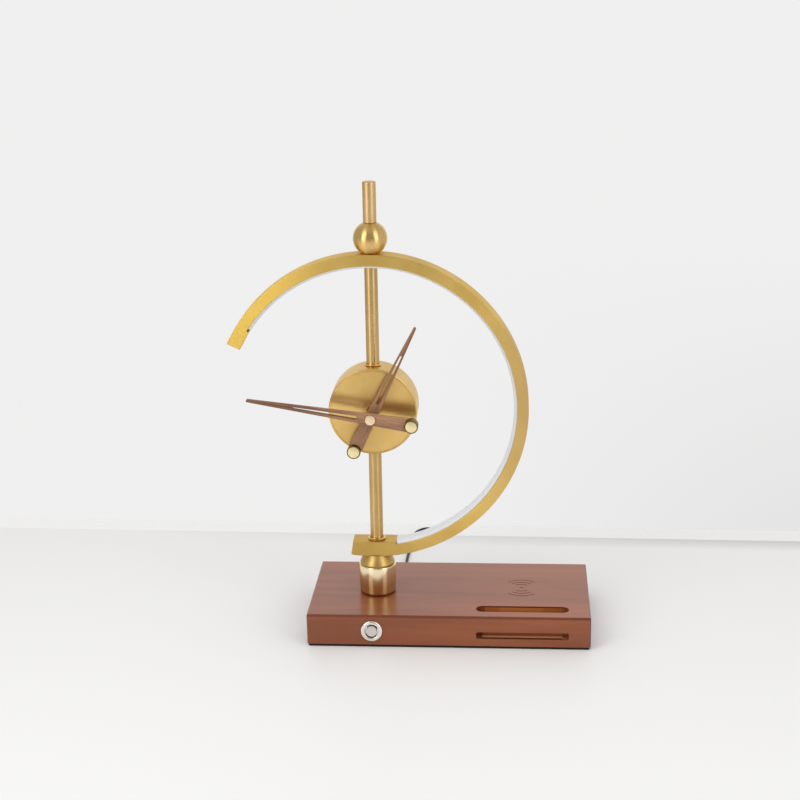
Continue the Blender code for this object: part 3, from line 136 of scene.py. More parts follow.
class Nodes:
    """Adds nodes to a tree and links them."""

    def __init__(self, tree: bpy.types.NodeTree) -> None:
        """Work on one node tree."""
        self.tree = tree

    def node(self, kind: str, **settings: object) -> bpy.types.Node:
        """Add a node and set its properties.

        Args:
            kind: The node's type.
            settings: Its properties by name.

        Returns:
            The node.
        """
        made = self.tree.nodes.new(kind)
        for key, value in settings.items():
            setattr(made, key, value)
        return made

    def feed(self, socket: Socket, value: object) -> None:
        """Link a socket to another, or set it to a number or colour.

        Args:
            socket: The input.
            value: A socket, or a plain value.
        """
        if isinstance(value, bpy.types.NodeSocket):
            self.tree.links.new(value, socket)
        elif isinstance(value, tuple) and len(value) == 3 and len(socket.default_value) == 4:
            socket.default_value = (*value, 1.0)
        else:
            socket.default_value = value

    def filled(self, kind: str, values: Sequence[object], **settings: object) -> bpy.types.Node:
        """Add a node and feed its first inputs.

        Args:
            kind: The node's type.
            values: What its inputs are fed with, in their order.
            settings: Its properties by name.

        Returns:
            The node.
        """
        made = self.node(kind, **settings)
        for socket, value in zip(made.inputs, values):
            self.feed(socket, value)
        return made

    def math(self, operation: str, *values: object) -> Socket:
        """Combine numbers."""
        return self.filled("ShaderNodeMath", values, operation=operation).outputs[0]

    def vector(self, operation: str, *values: object) -> Socket:
        """Combine vectors."""
        made = self.filled("ShaderNodeVectorMath", values, operation=operation)
        return made.outputs["Value" if operation in ("LENGTH", "DOT_PRODUCT") else "Vector"]

    def spread(self, value: Socket, low: float, high: float, start: float = 0.0, end: float = 1.0) -> Socket:
        """Stretch a range of a pattern to another range, and clamp it.

        Args:
            value: The value.
            low: Where the range begins.
            high: Where it ends.
            start: What it begins as.
            end: What it ends as.

        Returns:
            The new value.
        """
        made = self.node("ShaderNodeMapRange")
        self.feed(made.inputs["Value"], value)
        for key, number in zip(("From Min", "From Max", "To Min", "To Max"), (low, high, start, end)):
            made.inputs[key].default_value = number
        return made.outputs[0]

    def blend(self, share: object, first: object, second: object, how: str = "MIX") -> Socket:
        """Mix two colours.

        Args:
            share: How much of the second.
            first: The first colour.
            second: The second colour.
            how: The way of mixing.

        Returns:
            The mixed colour.
        """
        made = self.node("ShaderNodeMix", data_type="RGBA", blend_type=how)
        factor, colour_a, colour_b = (made.inputs[i] for i in (0, 6, 7))
        for socket, value in ((factor, share), (colour_a, first), (colour_b, second)):
            self.feed(socket, value)
        return made.outputs[2]


class Graph(Nodes):
    """Builds the nodes of one material."""

    def __init__(self, name: str) -> None:
        """Start a material with its Principled shader.

        Args:
            name: The material's name.
        """
        self.material = bpy.data.materials.new(name)
        self.material.use_nodes = True
        super().__init__(self.material.node_tree)
        self.shader = self.tree.nodes["Principled BSDF"]
        self.place = self.node("ShaderNodeTexCoord").outputs["Object"]

    def set(self, **values: object) -> None:
        """Set the shader's sockets, named with low lines for spaces."""
        for key, value in values.items():
            self.feed(self.shader.inputs[key.replace("_", " ")], value)

    def along(self, scale: Sequence[float], centre: Spot = (0.0, 0.0, 0.0), turn: float = 0.0) -> Socket:
        """Give coordinates that are centred on a piece, turned with it about Y, and stretched.

        Args:
            scale: Pattern repeats a metre along X, Y and Z.
            centre: The piece's centre in millimetres.
            turn: The piece's turn about Y in degrees.

        Returns:
            The vector socket.
        """
        settle = self.node("ShaderNodeMapping", vector_type="TEXTURE")
        self.feed(settle.inputs["Vector"], self.place)
        settle.inputs["Location"].default_value = Vector(centre) * MM
        settle.inputs["Rotation"].default_value = (0, radians(turn), 0)
        stretch = self.node("ShaderNodeMapping", vector_type="POINT")
        self.feed(stretch.inputs["Vector"], settle.outputs[0])
        stretch.inputs["Scale"].default_value = scale
        return stretch.outputs[0]

    def within(self, low: Spot, high: Spot, rim: float = 0.0) -> Socket:
        """Give 1 inside a box and 0 outside it.

        Args:
            low: The box's low corner in millimetres.
            high: Its high corner.
            rim: The share of the box's half sizes over which the mask fades.

        Returns:
            The mask.
        """
        middle = [(a + b) / 2 for a, b in zip(low, high)]
        offset = self.vector("ABSOLUTE", self.along([2 / ((b - a) * MM) for a, b in zip(low, high)], middle))
        x, y, z = self.filled("ShaderNodeSeparateXYZ", [offset]).outputs
        return self.spread(self.math("MAXIMUM", self.math("MAXIMUM", x, y), z), 1.0, HARD_RIM - rim)

    def noise(self, where: Socket, detail: float, roughness: float, distortion: float = 0.0) -> Socket:
        """Give a noise pattern from 0 to 1.

        Args:
            where: The place to read it at.
            detail: Its octaves.
            roughness: Their weight.
            distortion: How far it is bent.

        Returns:
            The noise, from 0 to 1.
        """
        made = self.filled("ShaderNodeTexNoise", [where])
        settings = {"Scale": 1.0, "Detail": detail, "Roughness": roughness, "Distortion": distortion}
        for key, value in settings.items():
            made.inputs[key].default_value = value
        return made.outputs["Fac"]

    def bump(self, height: Socket, distance: float, strength: float = 1.0,
             under: Optional[Socket] = None) -> Socket:
        """Turn a height pattern into a bumped normal.

        Args:
            height: The pattern from 0 to 1.
            distance: The height of a full step in millimetres.
            strength: The share of the bump that is used.
            under: A normal to add to.

        Returns:
            The normal socket.
        """
        made = self.node("ShaderNodeBump")
        self.feed(made.inputs["Height"], height)
        made.inputs["Distance"].default_value = distance * MM
        made.inputs["Strength"].default_value = strength
        if under:
            self.feed(made.inputs["Normal"], under)
        return made.outputs[0]


class Grain(Enum):
    """How a metal was worked: its lines' repeats a metre, then their noise's detail and roughness."""

    POLISHED = ((700, 700, 700), 2.0, 0.5)
    DRAWN = ((2400, 2400, 30), 2.0, 0.6)
    BRUSHED = ((60, 1500, 1500), 3.0, 0.65)
    TURNED = ((2600, 2600), 2.0, 0.6)
    SPUN = ((3200, 3200), 2.0, 0.6)


@dataclass(frozen=True)
class PaintedLightBox:
    """A box, in millimetres, in which a finish shows painted light and shade: a tone that stands in for how the
    light falls there.
    """

    low: Spot
    high: Spot
    tone: Colour
    rim: float = 0.0

    def lay(self, graph: Graph, tone: Socket, own: object) -> Socket:
        """Lay the box's painted light and shade over a piece's tone."""
        return graph.blend(graph.within(self.low, self.high, self.rim), tone, own)


@dataclass(frozen=True)
class Metal:
    """A solid metal with the fine lines of its working, a slight tone variation, and boxes of painted light and
    shade.
    """

    name: str
    colour: Colour
    roughness: float = 0.25
    grain: Grain = Grain.DRAWN
    centre: Spot = (0.0, 0.0, 0.0)
    depth: float = 0.004
    anisotropy: float = 0.0
    tarnish: float = 0.12
    # Boxes of painted light and shade over the metal.
    painted_light_boxes: tuple[PaintedLightBox, ...] = ()

    def axis(self) -> Spot:
        """Give the axis that the metal was spun, turned or drawn about."""
        return (0.0, 1.0, 0.0) if self.grain is Grain.SPUN else (0.0, 0.0, 1.0)

    def lines(self, graph: Graph) -> Socket:
        """Lay the working lines over the piece.

        Args:
            graph: The material's nodes.

        Returns:
            A pattern from 0 to 1.
        """
        repeats, detail, roughness = self.grain.value
        if self.grain not in (Grain.SPUN, Grain.TURNED):
            return graph.noise(graph.along(repeats, self.centre), detail, roughness)
        axis = self.axis()
        radius = graph.vector("LENGTH", graph.along([1 - part for part in axis], self.centre))
        height = graph.vector("DOT_PRODUCT", graph.along((1, 1, 1), self.centre), axis)
        spot = [graph.math("MULTIPLY", way, float(rate)) for way, rate in zip((radius, height), repeats)]
        return graph.noise(graph.filled("ShaderNodeCombineXYZ", spot).outputs[0], detail, roughness)

    def sheen(self, graph: Graph) -> Socket:
        """Give the direction across the working lines, along which the sheen is drawn out.

        Args:
            graph: The finish's nodes.

        Returns:
            The direction.
        """
        round_axis = graph.vector("CROSS_PRODUCT", graph.along((1, 1, 1), self.centre), self.axis())
        normal = graph.node("ShaderNodeNewGeometry").outputs["Normal"]
        return graph.vector("NORMALIZE", graph.vector("CROSS_PRODUCT", normal, round_axis))

    def build(self) -> bpy.types.Material:
        """Make the material.

        Returns:
            The material.
        """
        graph = Graph(self.name)
        lines = self.lines(graph)
        cloud = graph.noise(graph.along((26, 26, 26), self.centre), 3.0, 0.55)
        dull = tuple(c * (1 - self.tarnish) * tint for c, tint in zip(self.colour, TARNISH_TINT))
        tone = graph.blend(graph.spread(cloud, 0.38, 0.68), self.colour, dull)
        # Painted light and shade in boxes over the tone.
        for hollow in self.painted_light_boxes:
            tone = hollow.lay(graph, tone, hollow.tone)
        fine = tuple(c * (1 - 0.5 * self.tarnish) for c in self.colour)
        share = graph.math("MULTIPLY", graph.spread(lines, 0.42, 0.72), 0.5)
        rough = graph.math("ADD", graph.spread(cloud, *MIDDLE, -0.035, 0.035),
                           graph.spread(lines, *MIDDLE, 0.9 * self.roughness, 1.1 * self.roughness))
        graph.set(Metallic=1.0, Base_Color=graph.blend(share, tone, graph.blend(1.0, tone, fine, "DARKEN")),
                  Roughness=rough, Normal=graph.bump(lines, self.depth))
        if self.anisotropy:
            graph.set(Anisotropic=self.anisotropy, Tangent=self.sheen(graph))
        return graph.material


@dataclass(frozen=True)
class Wood:
    """Lacquered or oiled wood, its grain running along X or along a turned hand."""

    name: str
    light: Colour
    middle: Colour
    dark: Colour
    centre: Spot = (0.0, 0.0, 0.0)
    turn: float = 0.0
    upright: bool = False
    fineness: float = 1.0
    roughness: float = 0.4
    lacquer: float = 0.0
    lacquer_roughness: float = 0.15
    pores: float = 0.4
    bands: float = 0.75
    shine: float = 0.5
    # Boxes of painted light and shade over the wood.
    painted_light_boxes: tuple[PaintedLightBox, ...] = ()

    def pattern(self, graph: Graph, along: float, across: float, *noise: float) -> Socket:
        """Lay a noise with few repeats along the grain and many across it.

        Args:
            graph: The material's nodes.
            along: Repeats a metre along the grain.
            across: Repeats a metre across it.
            noise: The noise's detail, roughness and distortion.

        Returns:
            A pattern from 0 to 1.
        """
        along, across = along * self.fineness, across * self.fineness
        scale = (across, across, along) if self.upright else (along, across, across)
        return graph.noise(graph.along(scale, self.centre, self.turn), *noise)

    def build(self) -> bpy.types.Material:
        """Make the material.

        Returns:
            The material.
        """
        graph = Graph(self.name)
        broad, bands, fibre, pore = (self.pattern(graph, *numbers) for numbers in WOOD_PATTERNS)
        tone = graph.blend(graph.spread(broad, 0.36, 0.66), self.middle, self.light)
        specks = graph.math("MULTIPLY", graph.spread(pore, 0.64, 0.74), self.pores)
        streaks = ((graph.math("MULTIPLY", graph.spread(bands, 0.46, 0.72), self.bands), self.dark),
                   (graph.math("MULTIPLY", graph.spread(fibre, 0.4, 0.75), 0.6 * self.bands), self.dark),
                   (specks, tuple(0.45 * c for c in self.dark)))
        for share, darker in streaks:
            tone = graph.blend(share, tone, darker)
        # Painted light and shade in boxes, with the growth bands showing through it.
        for hollow in self.painted_light_boxes:
            darker = tuple(0.7 * c for c in hollow.tone)
            tone = hollow.lay(graph, tone, graph.blend(graph.spread(bands, 0.35, 0.7), hollow.tone, darker))
        rough = graph.math("ADD", graph.spread(fibre, *MIDDLE, -0.04, 0.05),
                           graph.spread(bands, *MIDDLE, 0.95 * self.roughness, 1.05 * self.roughness))
        relief = graph.bump(graph.math("SUBTRACT", 1.0, specks), 0.02, 0.6, graph.bump(fibre, 0.012))
        graph.set(Base_Color=tone, Roughness=rough, Coat_Weight=self.lacquer,
                  Coat_Roughness=self.lacquer_roughness, Specular_IOR_Level=self.shine, Normal=relief)
        return graph.material


@dataclass(frozen=True)
class Moulded:
    """Plastic, rubber, foam or silicone with the fine texture of its mould."""

    name: str
    colour: Colour
    roughness: float = 0.45
    speck: float = 1800.0
    depth: float = 0.01
    variation: float = 0.12
    weave: bool = False

    def build(self) -> bpy.types.Material:
        """Make the material.

        Returns:
            The material.
        """
        graph = Graph(self.name)
        grit = graph.noise(graph.along((self.speck,) * 3), 2.0, 0.6)
        cloud = graph.noise(graph.along((45, 45, 45)), 3.0, 0.6)
        dark = tuple(c * (1 - self.variation) for c in self.colour)
        light = tuple(min(1.0, c * (1 + 0.5 * self.variation)) for c in self.colour)
        tone = graph.blend(graph.spread(cloud, 0.35, 0.68), dark, self.colour)
        tone = graph.blend(graph.math("MULTIPLY", graph.spread(grit, 0.5, 0.72), 0.5), tone, light)
        height = grit
        if self.weave:
            threads = graph.node("ShaderNodeTexWave", bands_direction="DIAGONAL")
            graph.feed(threads.inputs["Vector"], graph.along((900, 900, 900)))
            height = threads.outputs["Fac"]
        rough = graph.spread(grit, *MIDDLE, self.roughness - 0.05, self.roughness + 0.05)
        graph.set(Base_Color=tone, Roughness=rough, Normal=graph.bump(height, self.depth))
        return graph.material


# Where the rod's foot, the clock's face, the ring's middle, the button's face and the power jack are.
ROD = (-68.4, -5.2, 0.0)
CLOCK = (-68.4, -20.2, 212.4)
RING = (-70.6, -5.2, 212.6)
BUTTON = (-69.9, -63.6, 16.5)
JACK = (-78.0, 63.6, 12.0)
# The heights of the ring block's top and the ball's foot.
BLOCK_TOP = 83.7
BALL_FOOT = 355.7
# How far the rods' seats in the drum's rim lie from its middle.
DRUM_SEAT = 39.45

ON_ROD = Facing.UP.at(*ROD)
ON_CLOCK = Facing.FRONT.at(*CLOCK)
ON_RING = Facing.FRONT.at(*RING)
ON_BUTTON = Facing.FRONT.at(*BUTTON)
ON_JACK = Facing.BACK.at(*JACK)

_BUILT: dict[object, bpy.types.Material] = {}


def material_of(finish: object) -> bpy.types.Material:
    """Build a finish once, and give its material.

    Args:
        finish: One of the finish classes.

    Returns:
        The material.
    """
    if finish not in _BUILT:
        _BUILT[finish] = finish.build()
    return _BUILT[finish]


def into_scene(name: str, data: Optional[bpy.types.ID]) -> bpy.types.Object:
    """Add an object with this data to the scene.

    Args:
        name: The object's name.
        data: Its data, or none for an empty.

    Returns:
        The object.
    """
    made = bpy.data.objects.new(name, data)
    bpy.context.scene.collection.objects.link(made)
    return made


def outline_offset(outline: Sequence[Point], inset: float) -> list[Point]:
    """Move an outline evenly to its own inner side.

    Args:
        outline: Its points, anticlockwise for an outer edge and clockwise for a hole.
        inset: The way that each edge moves to its left.

    Returns:
        The moved points.
    """
    sharpest = 0.3  # keeps a sharp corner from running far out
    moved = []
    for before, here, after in zip([outline[-1], *outline], outline, [*outline[1:], outline[0]]):
        back, on = (Vector(here) - Vector(before)).normalized(), (Vector(after) - Vector(here)).normalized()
        left_back, left_on = Vector((-back.y, back.x)), Vector((-on.y, on.x))
        step = (left_back + left_on) / max(sharpest, 1 + left_back.dot(left_on))
        moved.append((here[0] + inset * step.x, here[1] + inset * step.y))
    return moved


def turned_area(outline: Sequence[Point]) -> float:
    """Give an outline's area, which is negative if it runs clockwise."""
    return sum(a[0] * b[1] - b[0] * a[1] for a, b in zip(outline, [*outline[1:], outline[0]])) / 2


def arc(centre: Point, radius: float, start: float, end: float, count: int) -> list[Point]:
    """Give count + 1 points on an arc.

    Args:
        centre: The arc's centre.
        radius: Its radius.
        start: Its first angle in degrees.
        end: Its last angle in degrees.
        count: The number of steps.

    Returns:
        The points.
    """
    angles = [radians(start + (end - start) * i / count) for i in range(count + 1)]
    return [(centre[0] + radius * cos(a), centre[1] + radius * sin(a)) for a in angles]


def circle(radius: float, count: int = 48, centre: Point = (0.0, 0.0)) -> list[Point]:
    """Give a circle as an outline."""
    return arc(centre, radius, 0, 360 - 360 / count, count - 1)


def rounded(length: float, width: float, corner: float, count: int = 10) -> list[Point]:
    """Give a rectangle with round corners as an outline.

    Args:
        length: Its size along X.
        width: Its size along Y.
        corner: The corners' radius.
        count: The steps round a corner.

    Returns:
        The points, anticlockwise.
    """
    same = 1e-3  # points nearer than this are one
    x, y = length / 2 - corner, width / 2 - corner
    points = []
    for turn, place in enumerate([(x, y), (-x, y), (-x, -y), (x, -y)]):
        points += arc(place, corner, 90 * turn, 90 * turn + 90, count)
    return [p for p, q in zip(points, [points[-1], *points]) if (Vector(p) - Vector(q)).length > same]


def quarter(radius: float, count: int) -> list[Point]:
    """Give the steps of a rounded edge as (inset, drop) pairs, from the side to the face."""
    turns = [pi / 2 * i / count for i in range(count + 1)]
    return [(radius * (1 - cos(t)), radius * (1 - sin(t))) for t in turns]


def round_rim(radius: float, top: float, edge: float, count: int) -> list[Point]:
    """Give the rounded top edge of a turned piece as (radius, height) pairs, from its face to its side."""
    return [(radius - inset, top - drop) for inset, drop in reversed(quarter(edge, count))]


def hollow_levels(face: float, depth: float, floor: tuple[float, int], lip: Point,
                  shares: Sequence[float]) -> list[Point]:
    """Give the levels of a cutter that sinks a hollow with a round floor edge and a soft lip.

    Args:
        face: The height of the face that is cut.
        depth: The hollow's depth.
        floor: The radius of its floor's edge, and the steps round it.
        lip: How far the lip opens, and how deep it begins.
        shares: The lip's steps, from 0 to 1.

    Returns:
        (height, inset) pairs from the bottom to the top.
    """
    reach, start = lip
    levels = [(face - depth + drop, inset) for inset, drop in reversed(quarter(*floor))]
    levels += [(face - start + start * share, -reach * share * share) for share in shares]
    return [*levels, (face + PAST, -reach)]


def relief_ribs(top: float, step: float, radii: Sequence[float], rib: Spot, cut: float) -> list[Point]:
    """Give the ribs of a plug's strain relief as a profile.

    Args:
        top: The height of the first rib.
        step: The distance from rib to rib.
        radii: The ribs' radii.
        rib: How far below its top a rib ends, its slope ends and its gap ends.
        cut: The depth of the gaps.

    Returns:
        (radius, height) pairs downwards.
    """
    side, slope, gap = rib
    profile = []
    for i, radius in enumerate(radii):
        high, low = top - i * step, radius - cut
        profile += [(radius, high), (radius, high - side), (low, high - slope), (low, high - gap)]
    return profile


class Shape:
    """A mesh in the making, in millimetres until it is published."""

    def __init__(self) -> None:
        """Start an empty mesh."""
        self.mesh = bmesh.new()

    @classmethod
    def lathe(cls, profile: Sequence[Point], steps: int = 96, closed: bool = False) -> "Shape":
        """Spin a profile about Z.

        Args:
            profile: (radius, height) points.
            steps: Steps in a full turn.
            closed: Whether the last point joins the first.

        Returns:
            The turned shape.
        """
        shape = cls()
        mesh = shape.mesh
        points = [mesh.verts.new((radius, 0, height)) for radius, height in profile]
        pairs = list(zip(points, points[1:])) + ([(points[-1], points[0])] if closed else [])
        edges = [mesh.edges.new(pair) for pair in pairs if pair[0] is not pair[1]]
        bmesh.ops.spin(mesh, geom=points + edges, cent=(0, 0, 0), axis=(0, 0, 1), dvec=(0, 0, 0),
                       angle=2 * pi, steps=steps, use_merge=True)
        return shape.clean()

    @classmethod
    def pin(cls, radius: float, low: float, high: float, steps: int) -> "Shape":
        """Make a plain cylinder on Z, as a cutter of a round hole or as a boss."""
        return cls.lathe([(0, high), (radius, high), (radius, low), (0, low)], steps)

    def wall(self, rings: Iterable[Iterable[Sequence[float]]]) -> tuple[list, list]:
        """Join closed rings of points to a wall, and give the edges of its first and its last ring.

        Args:
            rings: The rings of points, from the first to the last.

        Returns:
            The two rings' edges.
        """
        first, last = [], []
        for points in rings:
            ring = [self.mesh.verts.new(point) for point in points]
            edges = [self.mesh.edges.new(pair) for pair in zip(ring, [*ring[1:], ring[0]])]
            if last:
                bmesh.ops.bridge_loops(self.mesh, edges=last + edges)
            first, last = first or edges, edges
        return first, last

    @classmethod
    def stack(cls, outlines: Sequence[Sequence[Point]], levels: Sequence[Point]) -> "Shape":
        """Stand walls on flat outlines, offset at each level, and close them at both ends.

        Args:
            outlines: The outer outline, then any holes.
            levels: (height, inset) pairs from the bottom to the top.

        Returns:
            The shape.
        """
        shape = cls()
        bottom, top = [], []
        for i, outline in enumerate(outlines):
            anticlockwise, outer = turned_area(outline) > 0, i == 0
            run = list(outline) if anticlockwise == outer else list(reversed(outline))
            lower, upper = shape.wall([(x, y, height) for x, y in outline_offset(run, inset)]
                                      for height, inset in levels)
            bottom += lower
            top += upper
        for edges, up in ((bottom, -1), (top, 1)):
            bmesh.ops.triangle_fill(shape.mesh, edges=edges, use_beauty=True, normal=(0, 0, up))
        return shape.clean()

    @classmethod
    def plate(cls, outlines: Sequence[Sequence[Point]], low: float, high: float, edge: float = 0.0,
              segments: int = 3) -> "Shape":
        """Make a flat plate whose rims are rounded.

        Args:
            outlines: The outer outline, then any holes.
            low: The lower face's height.
            high: The upper face's height.
            edge: The rims' radius.
            segments: The steps round a rim.

        Returns:
            The plate.
        """
        if not edge:
            return cls.stack(outlines, [(low, 0), (high, 0)])
        rim = quarter(edge, segments)
        levels = [(low + drop, inset) for inset, drop in reversed(rim)]
        levels += [(high - drop, inset) for inset, drop in rim]
        return cls.stack(outlines, levels)

    @classmethod
    def block(cls, low: Spot, high: Spot, edge: float = 0.0, segments: int = 3) -> "Shape":
        """Make a box between two corners, with rounded edges if asked.

        Args:
            low: The corner with the least of X, Y and Z.
            high: The corner opposite.
            edge: The edges' radius.
            segments: The steps round an edge.

        Returns:
            The box.
        """
        shape = cls()
        size = Vector(high) - Vector(low)
        place = Matrix.Translation((Vector(low) + Vector(high)) / 2)
        bmesh.ops.create_cube(shape.mesh, size=1.0, matrix=place @ Matrix.Diagonal((*size, 1)))
        if edge:
            bmesh.ops.bevel(shape.mesh, geom=shape.mesh.edges[:], offset=edge, segments=segments, profile=0.5,
                            affect="EDGES", material=-1, clamp_overlap=True)
        return shape

    @classmethod
    def swept(cls, outline: Sequence[Point], matrices: Sequence[Matrix]) -> "Shape":
        """Carry an outline along a row of placings and close both ends.

        Args:
            outline: The outline.
            matrices: The placings.

        Returns:
            The swept shape.
        """
        shape = cls()
        for edges in shape.wall([matrix @ Vector((x, y, 0)) for x, y in outline] for matrix in matrices):
            bmesh.ops.triangle_fill(shape.mesh, edges=edges, use_beauty=True)
        return shape.clean()

    def merged(self) -> "Shape":
        """Merge doubles."""
        bmesh.ops.remove_doubles(self.mesh, verts=self.mesh.verts, dist=1e-4)
        return self

    def clean(self) -> "Shape":
        """Merge doubles, drop faces without an area and point the faces outwards.

        Returns:
            This shape.
        """
        self.merged()
        bmesh.ops.dissolve_degenerate(self.mesh, edges=self.mesh.edges, dist=1e-5)
        bmesh.ops.recalc_face_normals(self.mesh, faces=self.mesh.faces)
        return self

    def moved(self, matrix: Matrix) -> "Shape":
        """Move the shape by a placing whose shift is in metres.

        Args:
            matrix: The placing.

        Returns:
            This shape.
        """
        matrix = matrix.copy()
        matrix.translation /= MM
        bmesh.ops.transform(self.mesh, matrix=matrix, verts=self.mesh.verts)
        return self

    def joined(self, *others: "Shape") -> "Shape":
        """Take in the meshes of other shapes that stand apart from this one.

        Args:
            others: The other shapes.

        Returns:
            This shape.
        """
        for other in others:
            spare = bpy.data.meshes.new("spare")
            other.mesh.to_mesh(spare)
            self.mesh.from_mesh(spare)
            bpy.data.meshes.remove(spare)
            other.mesh.free()
        return self

    def carved(self, *tools: "Shape", operation: str = "DIFFERENCE") -> "Shape":
        """Cut other shapes out of this one, or weld them on.

        Args:
            tools: The cutting shapes.
            operation: DIFFERENCE or UNION.

        Returns:
            This shape, cut.
        """
        holders = []
        for shape in (self, *tools):
            holder = into_scene("holder", bpy.data.meshes.new("holder"))
            shape.mesh.to_mesh(holder.data)
            shape.mesh.free()
            holders.append(holder)
        for tool in holders[1:]:
            boolean = holders[0].modifiers.new("cut", "BOOLEAN")
            boolean.object = tool
            boolean.operation = operation
            boolean.solver = "EXACT"
        bpy.context.view_layer.update()
        done = holders[0].evaluated_get(bpy.context.evaluated_depsgraph_get()).to_mesh()
        self.mesh = bmesh.new()
        self.mesh.from_mesh(done)
        for holder in holders:
            mesh = holder.data
            bpy.data.objects.remove(holder, do_unlink=True)
            bpy.data.meshes.remove(mesh)
        return self.merged()

    def publish(self, name: str, finish: object, body: Body, nodes: Sequence[str] = (), slot: str = "",
                sharp: float = 32.0, even: bool = False) -> bpy.types.Object:
        """Put the finished shape into the scene as one piece.

        Args:
            name: The piece's name.
            finish: Its finish.
            body: The body that it rides on.
            nodes: The plain solids that it stands for.
            slot: Not used.
            sharp: The angle in degrees past which an edge is shown sharp.
            even: Whether large flat faces keep their own shading next to rounded rims.

        Returns:
            The piece.
        """
        bmesh.ops.transform(self.mesh, matrix=Matrix.Scale(MM, 4), verts=self.mesh.verts)
        data = bpy.data.meshes.new(name)
        self.mesh.to_mesh(data)
        self.mesh.free()
        data.shade_smooth()
        data.set_sharp_from_angle(angle=radians(sharp))
        piece = into_scene(name, data)
        if even:
            flat = piece.modifiers.new("even_shading", "WEIGHTED_NORMAL")
            flat.keep_sharp = True
        return settle_piece(piece, finish, body, nodes)


def settle_piece(piece: bpy.types.Object, finish: object, body: Body, nodes: Sequence[str] = ()) -> bpy.types.Object:
    """Give a piece its finish and its body, and hide the solids that it stands for.

    Args:
        piece: The piece.
        finish: Its finish.
        body: The body that it rides on.
        nodes: The plain solids that it stands for.

    Returns:
        The piece.
    """
    piece.data.materials.clear()
    piece.data.materials.append(material_of(finish))
    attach(piece, body.value)
    if nodes:
        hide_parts(*nodes)
    LOG.info("%s rides on %s", piece.name, body.value)
    return piece


# Painted shade: a darker band along the top's front edge, where the rounded edge turns away from the light.
FRONT_EDGE_SHADE = PaintedLightBox((-400.0, -64.0, 29.2), (400.0, -61.6, 32.4), shade(122, 56, 30), 0.35)
# Painted shade: both end faces darker than the front, for the dark line at each end of the base.
RIGHT_END_SHADE = PaintedLightBox((128.4, -64.0, 2.0), (130.0, 64.0, 32.0), shade(104, 50, 30))
LEFT_END_SHADE = PaintedLightBox((-130.0, -64.0, 2.0), (-128.7, 64.0, 32.0), shade(104, 50, 28))
# Painted light and shade in the top groove: its walls painted lighter, lightest in the middle, a painted shadow
# under the lip, and painted shade at both ends.
GROOVE_LIGHT_AND_SHADE = (
    PaintedLightBox((24.6, -53.2, 19.0), (110.4, -37.9, 31.58), shade(188, 112, 56)),
    PaintedLightBox((45.0, -53.2, 19.0), (88.0, -37.9, 31.58), shade(226, 150, 92), 0.5),
    PaintedLightBox((24.6, -53.2, 30.2), (110.4, -37.9, 31.58), shade(112, 56, 30)),
    PaintedLightBox((22.0, -53.2, 16.0), (33.5, -37.9, 31.58), shade(116, 46, 24), 0.3),
    PaintedLightBox((103.0, -53.2, 16.0), (113.0, -37.9, 31.58), shade(140, 84, 46), 0.3),
)
# Painted light and shade in the front slot: its back wall painted lighter, a painted highlight along its floor,
# painted shade along the floor's front edge and at the left end, and a lighter right end.
SLOT_LIGHT_AND_SHADE = (
    PaintedLightBox((25.0, -63.5, 9.6), (110.0, -55.0, 16.6), shade(172, 90, 52)),
    PaintedLightBox((30.0, -60.1, 9.6), (105.0, -55.9, 10.9), shade(255, 208, 152), 0.05),
    PaintedLightBox((25.0, -63.5, 9.6), (110.0, -60.6, 10.9), shade(96, 48, 24)),
    PaintedLightBox((24.0, -63.4, 9.6), (30.6, -48.0, 16.6), shade(150, 92, 48), 0.3),
    PaintedLightBox((103.6, -63.4, 9.6), (108.4, -48.0, 16.6), shade(214, 148, 104), 0.3),
)
# Painted shade on the cup: its lower part darker, and a painted contact shadow at its foot.
CUP_SHADE = (
    PaintedLightBox((-400, -400, -20), (400, 400, 52), (0.78, 0.58, 0.28), 0.3),
    PaintedLightBox((-400, -400, 0), (400, 400, 34.5), (0.42, 0.22, 0.10), 0.08),
)
# Painted light and shade on the ring: darker on its right side, lighter and more golden at its upper left, where the
# left lamp falls.
RING_LIGHT_AND_SHADE = (
    PaintedLightBox((25, -400, 110), (200, 400, 310), (0.65, 0.44, 0.17), 0.6),
    PaintedLightBox((-300, -400, 190), (-110, 400, 420), (0.89, 0.61, 0.13), 0.5),
)

BASE_WOOD = Wood("red_brown_lacquered_wood", light=shade(156, 85, 47), middle=shade(133, 70, 37),
                 dark=shade(105, 55, 31), roughness=0.34, lacquer=0.9, lacquer_roughness=0.24, pores=0.08,
                 bands=0.25, shine=0.1, painted_light_boxes=(FRONT_EDGE_SHADE, RIGHT_END_SHADE, LEFT_END_SHADE, *GROOVE_LIGHT_AND_SHADE, *SLOT_LIGHT_AND_SHADE))
FOAM = Moulded("black_foam_pad", shade(24, 13, 11), 0.85, speck=1400, depth=0.05, variation=0.3)
COVER = Moulded("black_base_cover", shade(34, 33, 33), 0.5)
GREEN = Moulded("green_circuit_board", shade(28, 92, 52), 0.4, variation=0.2)
WINDING = Metal("copper_wire_winding", shade(200, 118, 72), 0.3, Grain.TURNED, (67.0, 4.5, 0.0), 0.08)
FERRITE = Moulded("dark_ferrite", shade(66, 62, 60), 0.7, variation=0.2)

NICKEL = Metal("brushed_nickel_rim", (0.90, 0.89, 0.86), 0.2, Grain.SPUN, BUTTON, 0.002, 0.5, tarnish=0.05)
NICKEL_PLAIN = Metal("nickel_shell", (0.72, 0.71, 0.68), 0.25, Grain.BRUSHED, tarnish=0.05)
CAP_GREY = Moulded("light_grey_cap", shade(212, 204, 203), 0.35, variation=0.06)

